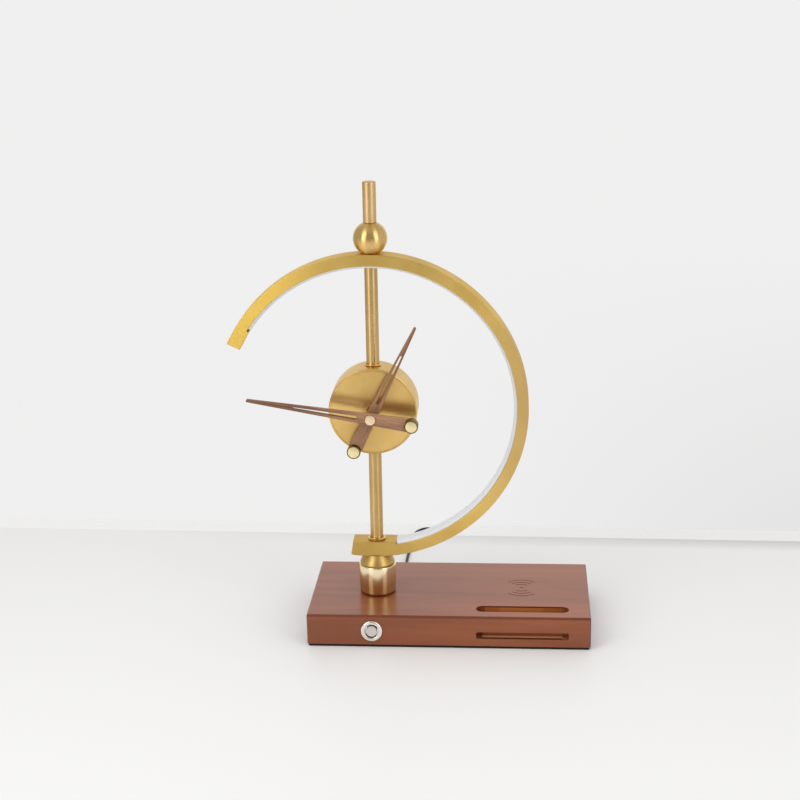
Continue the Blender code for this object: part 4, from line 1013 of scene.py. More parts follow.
POLISHED = Metal("polished_gold_cup", (0.99, 0.85, 0.57), 0.18, Grain.TURNED, ROD, 0.0006, 0.82, tarnish=0.05,
                 painted_light_boxes=CUP_SHADE)
COLLAR = Metal("satin_gold_collar", (0.66, 0.45, 0.16), 0.40, Grain.TURNED, ROD, 0.002, 0.35)
RODS = Metal("satin_gold_rod", (0.70, 0.48, 0.21), 0.29, Grain.DRAWN, ROD, 0.0015, 0.92)
FINIAL = Metal("pale_gold_finial", (0.77, 0.54, 0.27), 0.44, Grain.DRAWN, ROD, 0.0015, 0.3)
BALL = Metal("satin_gold_ball", (0.81, 0.56, 0.22), 0.28, Grain.TURNED, ROD, 0.0015, 0.9)
ROSETTE = Metal("polished_gold_rosette", shade(240, 198, 118), 0.15, Grain.TURNED, ROD, 0.001)
ZINC = Metal("zinc_plated_steel", (0.58, 0.57, 0.55), 0.35, Grain.TURNED, ROD)

RING_GOLD = Metal("brushed_gold_ring", (0.86, 0.595, 0.18), 0.40, Grain.SPUN, RING, 0.0015, 0.86,
                  painted_light_boxes=RING_LIGHT_AND_SHADE)
SILICONE = Moulded("milky_light_silicone", shade(229, 233, 238), 0.42, speck=900, depth=0.0005,
                   variation=0.04)
STRIP = Moulded("white_strip_tape", shade(222, 220, 210), 0.5, variation=0.08)
PLUG = Moulded("brown_end_plug", shade(86, 74, 62), 0.5)

DRUM = Metal("spun_gold_drum", shade(240, 202, 128), 0.32, Grain.SPUN, CLOCK, 0.001, 0.7)
COPPER = Metal("pale_copper_cap", (1.0, 0.80, 0.58), 0.34, Grain.SPUN, CLOCK, 0.001, tarnish=0.05)
# The tail weights' brass in two painted tones: the body painted dark as shade, the face disc painted pale as a
# highlight.
WEIGHT_BODY_SHADE = Metal("dark_bronze_weight", shade(122, 106, 66), 0.3, Grain.POLISHED, CLOCK, 0.001)
WEIGHT_FACE_HIGHLIGHT = Metal("brass_face_painted_highlight", (1.0, 0.85, 0.50), 0.38, Grain.POLISHED, CLOCK, 0.001, tarnish=0.06)
BLACK = Moulded("black_moulded_plastic", shade(30, 30, 32), 0.42, depth=0.012)
WRAP = Moulded("battery_wrap", shade(52, 78, 104), 0.3, depth=0.003, variation=0.08)

CABLE = Moulded("black_cable_rubber", shade(40, 40, 43), 0.5, speck=2500, depth=0.006)
TIE = Moulded("black_woven_tie", shade(28, 28, 30), 0.8, depth=0.08, weave=True)


@dataclass
class WoodenBase:
    """The wooden base with its grooves and engraved mark, and the pad under it."""

    half: float = 129.5
    front: float = -63.6
    back: float = 63.6
    bottom: float = 2.0
    top: float = 31.6
    edge: float = 1.3
    pocket: tuple[Point, Point] = ((-117.5, -30.8), (117.5, 51.6))
    pocket_roof: float = 5.0
    groove: Point = (67.5, -45.5)
    groove_size: Spot = (84.7, 12.7, 12.0)
    slot_height: float = 13.1
    slot_size: Spot = (84.0, 6.0, 8.0)
    slot_end: Spot = (3.0, 3.15, 1.5)
    button_hole: float = 8.2
    jack_hole: float = 5.8
    mark: Point = (66.7, 3.5)
    mark_radii: tuple[float, ...] = (7.8, 13.0, 18.3)
    mark_spread: float = 43.0
    mark_dot: float = 1.5
    mark_line: float = 1.05
    mark_depth: float = 0.45
    pad_size: Point = (257.0, 125.2)
    pad_top: float = 1.7

    def groove_tool(self) -> Shape:
        """Make the cutter of the top groove, with a soft lip and a round floor edge.

        Returns:
            The cutter.
        """
        length, width, depth = self.groove_size
        outline = rounded(length, width, width / 2, 16)
        levels = hollow_levels(self.top, depth, (1.2, 4), (0.25, 0.3), (0.0, 0.33, 0.66, 1.0))
        return Shape.stack([outline], levels).moved(Facing.UP.at(*self.groove, 0))

    def slot_tools(self) -> list[Shape]:
        """Make the cutters of the slot in the front face and of its deeper round ends.

        Returns:
            The cutters.
        """
        length, width, depth = self.slot_size
        levels = hollow_levels(0.0, depth, (0.5, 3), (0.4, 0.4), (0.0, 0.5, 1.0))
        middle = Facing.FRONT.at(self.groove[0], self.front, self.slot_height)
        tools = [Shape.stack([rounded(length, width, 1.6, 6)], levels).moved(middle)]
        inward, radius, deeper = self.slot_end
        for side in (-1, 1):
            x = self.groove[0] + side * (length / 2 - inward)
            end = Shape.pin(radius, -depth - deeper, -0.3, 32)
            tools.append(end.moved(Facing.FRONT.at(x, self.front, self.slot_height)))
        return tools

    def mark_tool(self) -> Shape:
        """Make the cutter of the engraved arcs that open to both sides from a dot.

        Returns:
            The cutter.
        """
        low, high = self.top - self.mark_depth, self.top + 1.0
        half, spread = self.mark_line / 2, self.mark_spread
        outlines = []
        for side in (90, 270):
            for radius in self.mark_radii:
                outlines.append(arc((0, 0), radius + half, side - spread, side + spread, 20)
                                + arc((0, 0), radius - half, side + spread, side - spread, 20))
        outlines.append(circle(self.mark_dot, 20))
        place = Facing.UP.at(*self.mark, 0)
        first, *rest = [Shape.plate([outline], low, high).moved(place) for outline in outlines]
        return first.joined(*rest)

    def build(self) -> None:
        """Make and dress the base and its pad."""
        low, high = (-self.half, self.front, self.bottom), (self.half, self.back, self.top)
        base = Shape.block(low, high, self.edge, 4)
        button = Shape.pin(self.button_hole, -20, PAST, 48).moved(ON_BUTTON)
        jack = Shape.pin(self.jack_hole, -16, PAST, 40).moved(ON_JACK)
        near, far = self.pocket
        pocket = Shape.block((*near, self.bottom - 5), (*far, self.top - self.pocket_roof))
        base.carved(self.groove_tool(), *self.slot_tools(), button, jack, pocket, self.mark_tool())
        base.publish("carved_wooden_base", BASE_WOOD, Body.LAMP, ["wood_base"], "wood", 28, even=True)
        pad = Shape.plate([rounded(*self.pad_size, 2.0, 6)], 0.0, self.pad_top, 0.3, 2)
        pad.publish("foam_pad", FOAM, Body.LAMP, ["base_pad"], "foam", even=True)


@dataclass
class PushButton:
    """The push button in the front of the base, its profiles as (radius, height) from the base's face."""

    length: float = 20.0
    dome: tuple[Point, ...] = ((6.7, 1.85), (7.1, 2.18), (7.8, 2.3), (8.7, 2.2), (9.5, 1.85), (9.85, 1.35),
                               (10.0, 0.8), (10.0, 0.3))
    barrel: float = 7.9
    bore: Point = (6.7, -4.2)
    guide: Point = (3.0, -14.0)
    face: tuple[Point, ...] = ((0, 2.62), (2.5, 2.66), (4.0, 2.75), (4.4, 2.9), (4.65, 2.82), (4.8, 2.5),
                               (4.85, 2.1), (4.9, 0.0))
    stem: Point = (2.3, -8.0)

    def build(self) -> None:
        """Make the rim, and the cap with its ring gap."""
        guide, floor = self.guide
        bore, step = self.bore
        rim = [(0, floor), (guide, floor), (guide, step), (bore, step), *self.dome,
               (self.barrel, GAP), (self.barrel, -self.length), (0, -self.length)]
        rim = Shape.lathe(rim, 96).moved(ON_BUTTON)
        rim.publish("button_rim", NICKEL, Body.LAMP, ["button_body"], "nickel")
        stem, foot = self.stem
        cap = Shape.lathe([*self.face, (stem, 0.0), (stem, foot), (0, foot)], 72).moved(ON_BUTTON)
        cap.publish("button_cap_face", CAP_GREY, Body.BUTTON, ["button_cap"], "grey")


@dataclass
class Foot:
    """The polished cup and the domed collar that carry the ring and the rod."""

    low: float = 31.9
    height: float = 28.2
    bore: float = 5.3
    belly: float = 17.5
    belly_rise: float = 21.0
    bottom: float = 16.8
    top: float = 17.2
    shoulder: float = 1.3
    collar_wide: float = 16.2
    collar_narrow: float = 11.4
    collar_height: float = 9.7

    def cup_profile(self) -> list[Point]:
        """Give the cup's outer profile from its shoulder to its foot.

        Returns:
            (radius, height) pairs.
        """
        belly, belly_rise, steps = self.belly, self.belly_rise, 32
        bottom, shoulder = self.bottom, self.shoulder
        above = self.height - shoulder
        rim = arc((self.top - shoulder, self.low + above), shoulder, 90, 8, 8)
        side = []
        for i in range(steps + 1):
            z = above * (1 - i / steps)
            if z > belly_rise:
                radius = belly - (belly - self.top) * ((z - belly_rise) / (above - belly_rise)) ** 2
            else:
                radius = belly - (belly - bottom) * (1 - z / belly_rise) ** 2
            side.append((radius, self.low + z))
        side = [point for point in side if point[1] > self.low + 1.2]
        foot = arc((bottom - 1.0, self.low + 1.0), 1.0, 0, -80, 8)
        return [*rim, *side, *foot, (bottom - 1.2, self.low)]

    def collar_profile(self, foot: float) -> list[Point]:
        """Give the collar's outer profile from its crown to its foot.

        Args:
            foot: The height that it stands on.

        Returns:
            (radius, height) pairs.
        """
        wide, steps = self.collar_wide, 24
        dome = []
        for i in range(steps + 1):
            share = 1 - i / steps
            dome.append((wide - (wide - self.collar_narrow) * share ** 1.35, foot + 0.9 + 8.8 * share))
        return [*dome, (wide, foot + 0.5), (wide - 0.2, foot + 0.15), (wide - 0.4, foot)]

    def build(self) -> None:
        """Make the cup and the collar."""
        top = self.low + self.height
        cup = [(self.bore, top), *self.cup_profile(), (self.bore, self.low)]
        foot = top + GAP
        collar = [(self.bore, foot + self.collar_height), *self.collar_profile(foot), (self.bore, foot)]
        for profile, name, finish, node in ((cup, "polished_cup", POLISHED, "foot_cup"),
                                            (collar, "domed_collar", COLLAR, "foot_collar")):
            turned = Shape.lathe(profile, 128, closed=True).moved(ON_ROD)
            turned.publish(name, finish, Body.LAMP, [node], "brass")


@dataclass
class LampRing:
    """The brass ring with its block, the milky light strip in its channel and the strip's end plug."""

    radius: float = 143.1
    inner: float = 132.7
    width: float = 20.0
    end: float = 154.5
    left: float = -19.6
    right: float = 20.8
    channel_end: float = 146.0
    channel_wall: float = 1.6
    end_rise: float = 2.4
    floor: float = 136.7
    proud: float = 3.0
    plug_angle: float = 0.6
    rim: float = 0.55
    seats: tuple[Spot, ...] = ((12.0, 60, 70.4), (5.3, 60, 90), (8.6, BALL_FOOT - GAP, 362), (3.3, 340, 362))
    strip_half: float = 8.1
    strip_seat: float = 1.95

    def bend(self) -> float:
        """Give the angle in degrees at which the ring leaves its block."""
        return 270 + degrees(asin(self.right / self.inner))

    def bar(self) -> Shape:
        """Make the bar with its block and rounded rims.

        Returns:
            The bar.
        """
        flat = BLOCK_TOP - RING[2]
        start = 270 - degrees(atan(self.left / flat))
        step = 360 + self.channel_end + 0.3
        outer = arc((0, 0), self.radius, start, 360 + self.end, 240)
        inner = arc((0, 0), self.inner - self.end_rise, 360 + self.end, step, 8)
        inner += arc((0, 0), self.inner, step, self.bend(), 222)
        outline = [*outer, *inner, (self.right, flat), (self.left, flat)]
        half = self.width / 2
        return Shape.plate([outline], -half, half, self.rim, 3)

    def channel(self, start: float, end: float) -> Shape:
        """Make the cutter of the channel for the light strip, between two angles.

        Args:
            start: Its first angle in degrees.
            end: Its last angle in degrees.

        Returns:
            The cutter.
        """
        half = self.width / 2 - self.channel_wall
        outline = [*arc((0, 0), self.floor, start, end, 220), *arc((0, 0), self.inner - 12, end, start, 220)]
        return Shape.plate([outline], -half, half)

    def strip(self, share: float, start: float, end: float, steps: int) -> Shape:
        """Sweep the diffuser's domed section round the channel.

        Args:
            share: The section's size as a share of the full one.
            start: The first angle in degrees.
            end: The last angle.
            steps: The steps between them.

        Returns:
            The strip, in its place.
        """
        half, low = self.strip_half * share, self.floor - self.strip_seat
        shoulder = self.inner - 0.1
        rise = share * (shoulder - (self.inner - self.proud))
        dome = [(shoulder - rise * sin(radians(a)) ** 0.8, half * cos(radians(a))) for a in range(0, 181, 9)]
        turns = [radians(start + (end - start) * i / steps) for i in range(steps + 1)]
        upright = Matrix.Rotation(pi / 2, 4, "X")
        return Shape.swept([(low, half), *dome, (low, -half)],
                           [Matrix.Rotation(turn, 4, "Z") @ upright for turn in turns]).moved(ON_RING)

    def build(self) -> None:
        """Make the ring, the diffuser and its end plug."""
        start = self.bend() + 0.13
        last = 360 + self.channel_end
        channel = self.channel(start, last)
        seats = [Shape.pin(*seat, 64).moved(ON_ROD) for seat in self.seats]
        ring = self.bar().carved(channel).moved(ON_RING).carved(*seats)
        ring.publish("brushed_ring", RING_GOLD, Body.LAMP, ["lamp_ring"], "brass", 30, even=True)
        hole = Shape.pin(6.3, 330, 362, 48).moved(ON_ROD)
        plug_start = last - self.plug_angle
        diffuser = self.strip(1.0, start + 0.15, plug_start, 240).carved(hole)
        diffuser.publish("milky_diffuser", SILICONE, Body.LAMP, ["ring_diffuser"], "white", 40)
        plug = self.strip(0.6, plug_start + 0.05, last - 0.05, 3)
        plug.publish("diffuser_end_plug", PLUG, Body.LAMP, slot="black", sharp=40)


@dataclass
class Column:
    """The rods, their rosettes, the ball and the finial above the ring."""

    rod: float = 6.0
    rod_edge: float = 0.15
    rod_top: float = 348.7
    top: float = 419.14
    ball_radius: float = 15.4
    ball_flat: float = 8.0
    ball_bore: float = 3.3
    flare_bore: float = 6.3
    flare_neck: float = 6.6
    flare_height: float = 2.3
    flare_drop: float = 1.1

    def turned(self, name: str, profile: Sequence[Point], finish: Metal, node: str, steps: int = 96,
               closed: bool = False) -> None:
        """Turn one brass piece of the column.

        Args:
            name: The piece's name.
            profile: Its (radius, height) points.
            finish: Its finish.
            node: The solid that it stands for.
            steps: Steps in a full turn.
            closed: Whether it has a bore, so that the last point joins the first.
        """
        Shape.lathe(profile, steps, closed).moved(ON_ROD).publish(name, finish, Body.LAMP, [node], "brass")

    def rosette(self, name: str, radius: float, foot: float, way: int, node: str) -> None:
        """Make one flared rosette.

        Args:
            name: The piece's name.
            radius: The radius of its flange.
            foot: The height of the face that it stands on.
            way: 1 where it rises from that face, -1 where it hangs.
            node: The solid that it stands for.
        """
        neck, height, steps = self.flare_neck, self.flare_height, 12
        flare = [(neck + (radius - neck) * (i / steps) ** 2, height - self.flare_drop * i / steps)
                 for i in range(steps + 1)]
        rim = [(radius, 1.0), (radius - 0.15, 0.8), (radius - 1.7, 0.7), (radius - 1.7, 0.0)]
        profile = [(self.flare_bore, height), *flare, *rim, (self.flare_bore, 0.0)]
        self.turned(name, [(r, foot + way * z) for r, z in profile], ROSETTE, node, closed=True)

    def tube(self, name: str, low: float, high: float, node: str) -> None:
        """Make one rod with lightly broken ends.

        Args:
            name: The rod's name.
            low: Its lower end.
            high: Its upper end.
            node: The plain solid that it stands for.
        """
        radius, edge = self.rod, self.rod_edge
        self.turned(name, [(0, high), (radius - edge, high), (radius, high - edge), (radius, low + edge),
                           (radius - edge, low), (0, low)], RODS, node)

    def ball(self, centre: float) -> None:
        """Make the ball with its flat foot and its bore.

        Args:
            centre: The height of its centre.
        """
        tilt = degrees(asin(self.ball_flat / self.ball_radius))
        crown = degrees(asin(self.ball_bore / self.ball_radius))
        side = arc((0, centre), self.ball_radius, 90 - crown, tilt - 90, 72)
        self.turned("satin_ball", [*side, (self.ball_bore, BALL_FOOT)], BALL, "ball", 128, closed=True)

    def finial(self, centre: float) -> None:
        """Make the finial rod, hollowed at its foot to sit on the ball.

        Args:
            centre: The height of the ball's centre.
        """
        reach = self.ball_radius + GAP
        seat = centre + sqrt(self.ball_radius ** 2 - self.rod ** 2) + GAP
        hollow = arc((0, centre), reach, 90 - degrees(asin(self.rod / reach)), 85, 6)
        profile = [(0, self.top), *round_rim(self.rod, self.top, 0.5, 4), (self.rod, seat + 0.35), *hollow,
                   (0, centre + reach)]
        self.turned("gold_finial", profile, FINIAL, "finial_rod")

    def build(self) -> None:
        """Make the column from below."""
        foot, low, high = BLOCK_TOP + GAP, CLOCK[2] - DRUM_SEAT - GAP, CLOCK[2] + DRUM_SEAT + GAP
        self.rosette("block_flare", 8.4, foot, 1, "block_rosette")
        self.rosette("lower_drum_flare", 7.6, low, -1, "drum_lower_rosette")
        self.rosette("upper_drum_flare", 7.6, high, 1, "drum_upper_rosette")
        self.tube("lower_gold_rod", foot, low, "lower_rod")
        self.tube("upper_gold_rod", high, self.rod_top, "upper_rod")
        centre = BALL_FOOT + sqrt(self.ball_radius ** 2 - self.ball_flat ** 2)
        self.ball(centre)
        self.finial(centre)


@dataclass
class ClockDrum:
    """The drum with the movement, its cell, contacts and setting knob."""

    radius: float = 40.2
    depth: float = 30.0
    wall: float = 1.8
    chamfer: float = 0.9
    spot_radius: float = 8.2
    stud_hole: float = 3.3
    movement: float = 55.5
    movement_back: float = 18.3
    movement_front: float = 2.3
    cell_drop: float = 17.8
    cell_depth: float = 7.4
    bay_half: float = 25.5
    knob: Point = (-13.0, 11.0)
    knob_radius: float = 5.78
    flute: float = 0.22
    flutes: int = 24

    def back(self) -> float:
        """Give the place of the movement's back face along Y."""
        return CLOCK[1] + self.movement_back

    def cell_middle(self) -> Spot:
        """Give the middle of the AA cell."""
        return ROD[0], self.back() - self.cell_depth, CLOCK[2] - self.cell_drop

    def behind(self, x: float, z: float) -> Matrix:
        """Give a placing on the movement's back, its Z axis pointing to the back."""
        return Facing.BACK.at(ROD[0] + x, self.back(), CLOCK[2] + z)

    def drum(self) -> None:
        """Make the drum with its spot faces and holes."""
        radius, depth, chamfer = self.radius, self.depth, self.chamfer
        inner = radius - self.wall
        groove = radius - chamfer - 0.6
        face = [(0, 0), (groove - 0.7, 0), (groove - 0.6, -0.5), (groove - 0.1, -0.5), (groove, 0),
                (radius - chamfer - 0.1, 0), (radius - chamfer, -0.03), (radius - 0.03, -chamfer),
                (radius, -chamfer - 0.1)]
        back = [(radius, 0.5 - depth), (radius - 0.15, 0.15 - depth), (radius - 0.5, -depth),
                (inner + GAP, -depth), (inner, GAP - depth), (inner, -2.0), (0, -2.0)]
        drum = Shape.lathe([*face, *back], 192).moved(ON_CLOCK)
        middle = Facing.UP.at(ROD[0], ROD[1], CLOCK[2])
        pins = ((self.spot_radius, DRUM_SEAT, 43.0, 64), (self.spot_radius, -43.0, -DRUM_SEAT, 64),
                (self.stud_hole, -42, 42, 32))
        bush = Shape.pin(4.2, -3, 1, 48).moved(ON_CLOCK)
        drum.carved(*[Shape.pin(*pin).moved(middle) for pin in pins], bush)
        drum.publish("spun_drum", DRUM, Body.LAMP, ["drum_case"], "brass", 26, even=True)

    def clockwork(self) -> None:
        """Make the movement's case with its bay, ribs and recesses."""
        size, back = self.movement, self.back()
        case = Shape.plate([rounded(size, size, 5.0, 10)], -self.movement_back, -self.movement_front, 0.7, 3)
        bush = Shape.lathe([(0, 7.0), (3.6, 7.0), (3.9, 6.7), (3.9, -4.0), (0, -4.0)], 48).moved(ON_CLOCK)
        case.moved(ON_CLOCK).carved(bush, operation="UNION")
        bore = Shape.pin(2.85, -8.6, 9, 40).moved(ON_CLOCK)
        x, y, z = self.cell_middle()
        half, depth = self.bay_half, self.cell_depth
        bay = Shape.block((x - half, y - depth, z - depth), (x + half, back + 2, z + depth), 0.5, 2)
        well = Shape.pin(1.8, -4.3, 2, 32).moved(self.behind(*self.knob))
        dish = Shape.lathe([(8.6, 1), (9.2, 1), (9.2, -0.4), (8.6, -0.4)], 64, closed=True)
        dish.moved(self.behind(*self.knob))
        low, high = CLOCK[2] + 4, CLOCK[2] + 20
        grooves = [Shape.block((left, back - 0.5, low), (left + 1.2, back + 1, high))
                   for left in (x + 2 + 4 * i for i in range(5))]
        pulse = Shape.pin(1.0, -1.5, 1, 24).moved(self.behind(-20, -4))
        case.carved(bore, bay, well, dish, *grooves, pulse)
        case.publish("quartz_clockwork", BLACK, Body.LAMP, ["clock_movement"], "black", 30, even=True)

    def contacts(self) -> None:
        """Make the two spring contacts at the ends of the cell's bay."""
        x, y, z = self.cell_middle()
        thick, half, reach = 0.12, 3.5, 25.33
        left, right = (Shape.block((end - thick, y - half, z - half), (end + thick, y + half, z + half))
                       for end in (x - reach, x + reach))
        left.joined(right).publish("cell_contacts", NICKEL_PLAIN, Body.LAMP, slot="nickel")

    def cell(self) -> None:
        """Make the AA cell with its wrap, end rims and nub."""
        nub = [(0, 25.2), (2.3, 25.2), (2.6, 24.9), (2.6, 24.05)]
        rim = [(5.6, 24.05), (6.2, 24.3), (6.8, 24.2), (7.1, 23.8)]
        foot = [(7.1, -24.6), (6.8, -25.05), (6.2, -25.2), (0, -25.1)]
        cell = Shape.lathe([*nub, *rim, *foot], 64).moved(Facing.RIGHT.at(*self.cell_middle()))
        cell.publish("dry_cell", WRAP, Body.LAMP, ["battery"], "cell")

    def setting_knob(self) -> None:
        """Make the fluted knob that sets the hands."""
        outline = []
        for x, y in circle(1.0, 6 * self.flutes):
            radius = self.knob_radius + self.flute * cos(self.flutes * atan2(y, x))
            outline.append((radius * x, radius * y))
        head = Shape.plate([outline], GAP, 4.3, 0.4, 3)
        stem = Shape.pin(1.5, -4.0, 1.0, 32)
        dimple = Shape.lathe([(0, 6), (3.4, 6), (3.4, 4.0), (3.1, 3.8), (0, 3.8)], 48)
        head.carved(stem, operation="UNION").carved(dimple).moved(self.behind(*self.knob))
        head.publish("fluted_knob", BLACK, Body.KNOB, ["setting_knob"], "black", 30, even=True)

    def build(self) -> None:
        """Make the drum and what is in it."""
        self.drum()
        self.clockwork()
        self.contacts()
        self.cell()
        self.setting_knob()


@dataclass
class Hand:
    """One tapered wooden hand with its slot, boss and tail weight."""

    name: str
    body: Body
    length: float
    tail_width: float
    slot_end: float
    plane: float
    turn: float
    hole: float
    thickness: float = 4.0
    tip_width: float = 2.3
    tail: float = 37.0
    stop: float = 33.0
    slot_start: float = 13.6
    weight_radius: float = 6.2
    weight_length: float = 9.0
    weight_proud: float = 3.2
    boss_radius: float = 4.7

    def place(self) -> Matrix:
        """Give the hand's placing, turned to the time that it shows."""
        middle = Matrix.Translation(Vector(CLOCK) * MM)
        return middle @ Matrix.Rotation(radians(self.turn), 4, "Y") @ Matrix.Rotation(pi / 2, 4, "X")

    def half_width(self, y: float) -> float:
        """Give half the hand's width at a distance from the clock's middle."""
        share = (y + self.tail) / (self.length + self.tail)
        return (self.tail_width + (self.tip_width - self.tail_width) * share) / 2

    def outline(self) -> list[Point]:
        """Give the hand's outline with the hollow for its weight.

        Returns:
            Its points.
        """
        hollow = self.weight_radius + GAP
        reach = degrees(acos((self.tail - self.stop) / hollow))
        notch = arc((0, -self.tail), hollow, 90 + reach, 90 - reach, 24)
        corner = self.half_width(-self.stop)
        shoulder = self.length - self.tip_width / 2
        tip = arc((0, shoulder), self.half_width(shoulder), 0, 180, 12)
        right = [(self.half_width(y), y) for y in np.linspace(-self.stop, shoulder, 14)][1:-1]
        left = [(-x, y) for x, y in reversed(right)]
        return [(-corner, -self.stop), *notch, (corner, -self.stop), *right, *tip, *left]

    def slot(self) -> list[Point]:
        """Give the long slot's outline."""
        return [*arc((0, self.slot_start), 1.6, 180, 360, 10), *arc((0, self.slot_end), 0.75, 0, 180, 8)]

    def blade(self, low: float, high: float) -> None:
        """Make the wooden blade between two heights above the clock's face.

        Args:
            low: The height of its back face.
            high: The height of its front face.
        """
        wood = Wood(f"walnut_{self.name}", light=shade(182, 137, 102), middle=shade(152, 108, 77),
                    dark=shade(76, 44, 30), centre=CLOCK, turn=self.turn, upright=True, fineness=1.25,
                    roughness=0.5, pores=0.95)
        blade = Shape.plate([self.outline(), self.slot(), circle(self.hole, 32)], low, high, 0.35, 3)
        blade.moved(self.place()).publish(f"{self.name}_blade", wood, self.body, [f"{self.name}_hand"],
                                          "hand_wood", 30, even=True)

    def weight(self, front: float) -> None:
        """Make the tail weight, its body painted dark as shade, with a disc in its face painted pale as a highlight.

        Args:
            front: The height of its front face.
        """
        radius, back = self.weight_radius, front - self.weight_length
        seat, disc = radius - 1.05, radius - 1.15
        at = self.place() @ Matrix.Translation((0, -self.tail * MM, 0))
        name, body = self.name, self.body
        cup = [(0, front - 0.5), (seat, front - 0.5), (seat, front - 0.1)]
        foot = [(radius, back + 0.5), (radius - 0.5, back), (0, back)]
        weight = Shape.lathe([*cup, *round_rim(radius, front, 0.8, 5), *foot], 80).moved(at)
        weight.publish(f"{name}_tail_weight", WEIGHT_BODY_SHADE, body, [f"{name}_weight"], "brass")
        # The face disc, painted pale as a highlight.
        plate = [(0, front + 0.02), (radius - 1.5, front), (disc, front - 0.12), (disc, front - 0.4),
                 (0, front - 0.4)]
        face = Shape.lathe(plate, 80).moved(at)
        face.publish(f"{name}_weight_face", WEIGHT_FACE_HIGHLIGHT, body, slot="brass")

    def boss(self, high: float) -> None:
        """Make the boss behind the blade.

        Args:
            high: The height of its front face.
        """
        radius, low, edge = self.boss_radius, high - 1.6, 0.2
        profile = [(self.hole, high), (radius - edge, high), (radius, high - edge), (radius, low + edge),
                   (radius - edge, low), (self.hole, low)]
        boss = Shape.lathe(profile, 64, closed=True).moved(self.place())
        boss.publish(f"{self.name}_collet", ROSETTE, self.body, [f"{self.name}_boss"], "brass")

    def build(self) -> None:
        """Make the wooden hand with its weight and its boss."""
        high = self.plane + self.thickness
        self.blade(self.plane, high)
        self.weight(high + self.weight_proud)
        self.boss(self.plane - GAP)


@dataclass
class Hands:
    """Both hands, with the cap in front and the nut behind."""

    hands: tuple[Hand, ...] = (Hand("hour", Body.HOUR, 91.4, 13.2, 61.8, 10.5, 26.4, 2.85),
                               Hand("minute", Body.MINUTE, 112.4, 12.8, 69.5, 20.4, 278.8, 1.9))
    cap_back: float = 24.7
    cap_radius: float = 4.5
    cap_bore: float = 1.9
    nut_corner: float = 6.928
    nut_bore: float = 4.2

    def cap(self) -> None:
        """Make the copper cap on the minute shaft."""
        radius, bore, back = self.cap_radius, self.cap_bore, self.cap_back
        face = [(0, back + 2.0), (2.5, back + 1.97), *round_rim(radius, back + 1.9, 0.5, 4)]
        inside = [(radius, back + 0.1), (radius - 0.1, back), (bore, back), (bore, back + 1.3),
                  (0, back + 1.3)]
        cap = Shape.lathe([*face, *inside], 72).moved(ON_CLOCK)
        cap.publish("copper_cap", COPPER, Body.MINUTE, ["minute_cap"], "copper")

    def nut(self) -> None:
        """Make the hexagon nut that holds the movement in the drum."""
        outlines = [circle(self.nut_corner, 6), circle(self.nut_bore, 32)]
        nut = Shape.plate(outlines, GAP, 2.8, 0.25, 2).moved(ON_CLOCK)
        nut.publish("dial_hexagon_nut", ROSETTE, Body.LAMP, ["dial_nut"], "brass", even=True)

    def build(self) -> None:
        """Make the hands, their cap and their nut."""
        for hand in self.hands:
            hand.build()
        self.cap()
        self.nut()


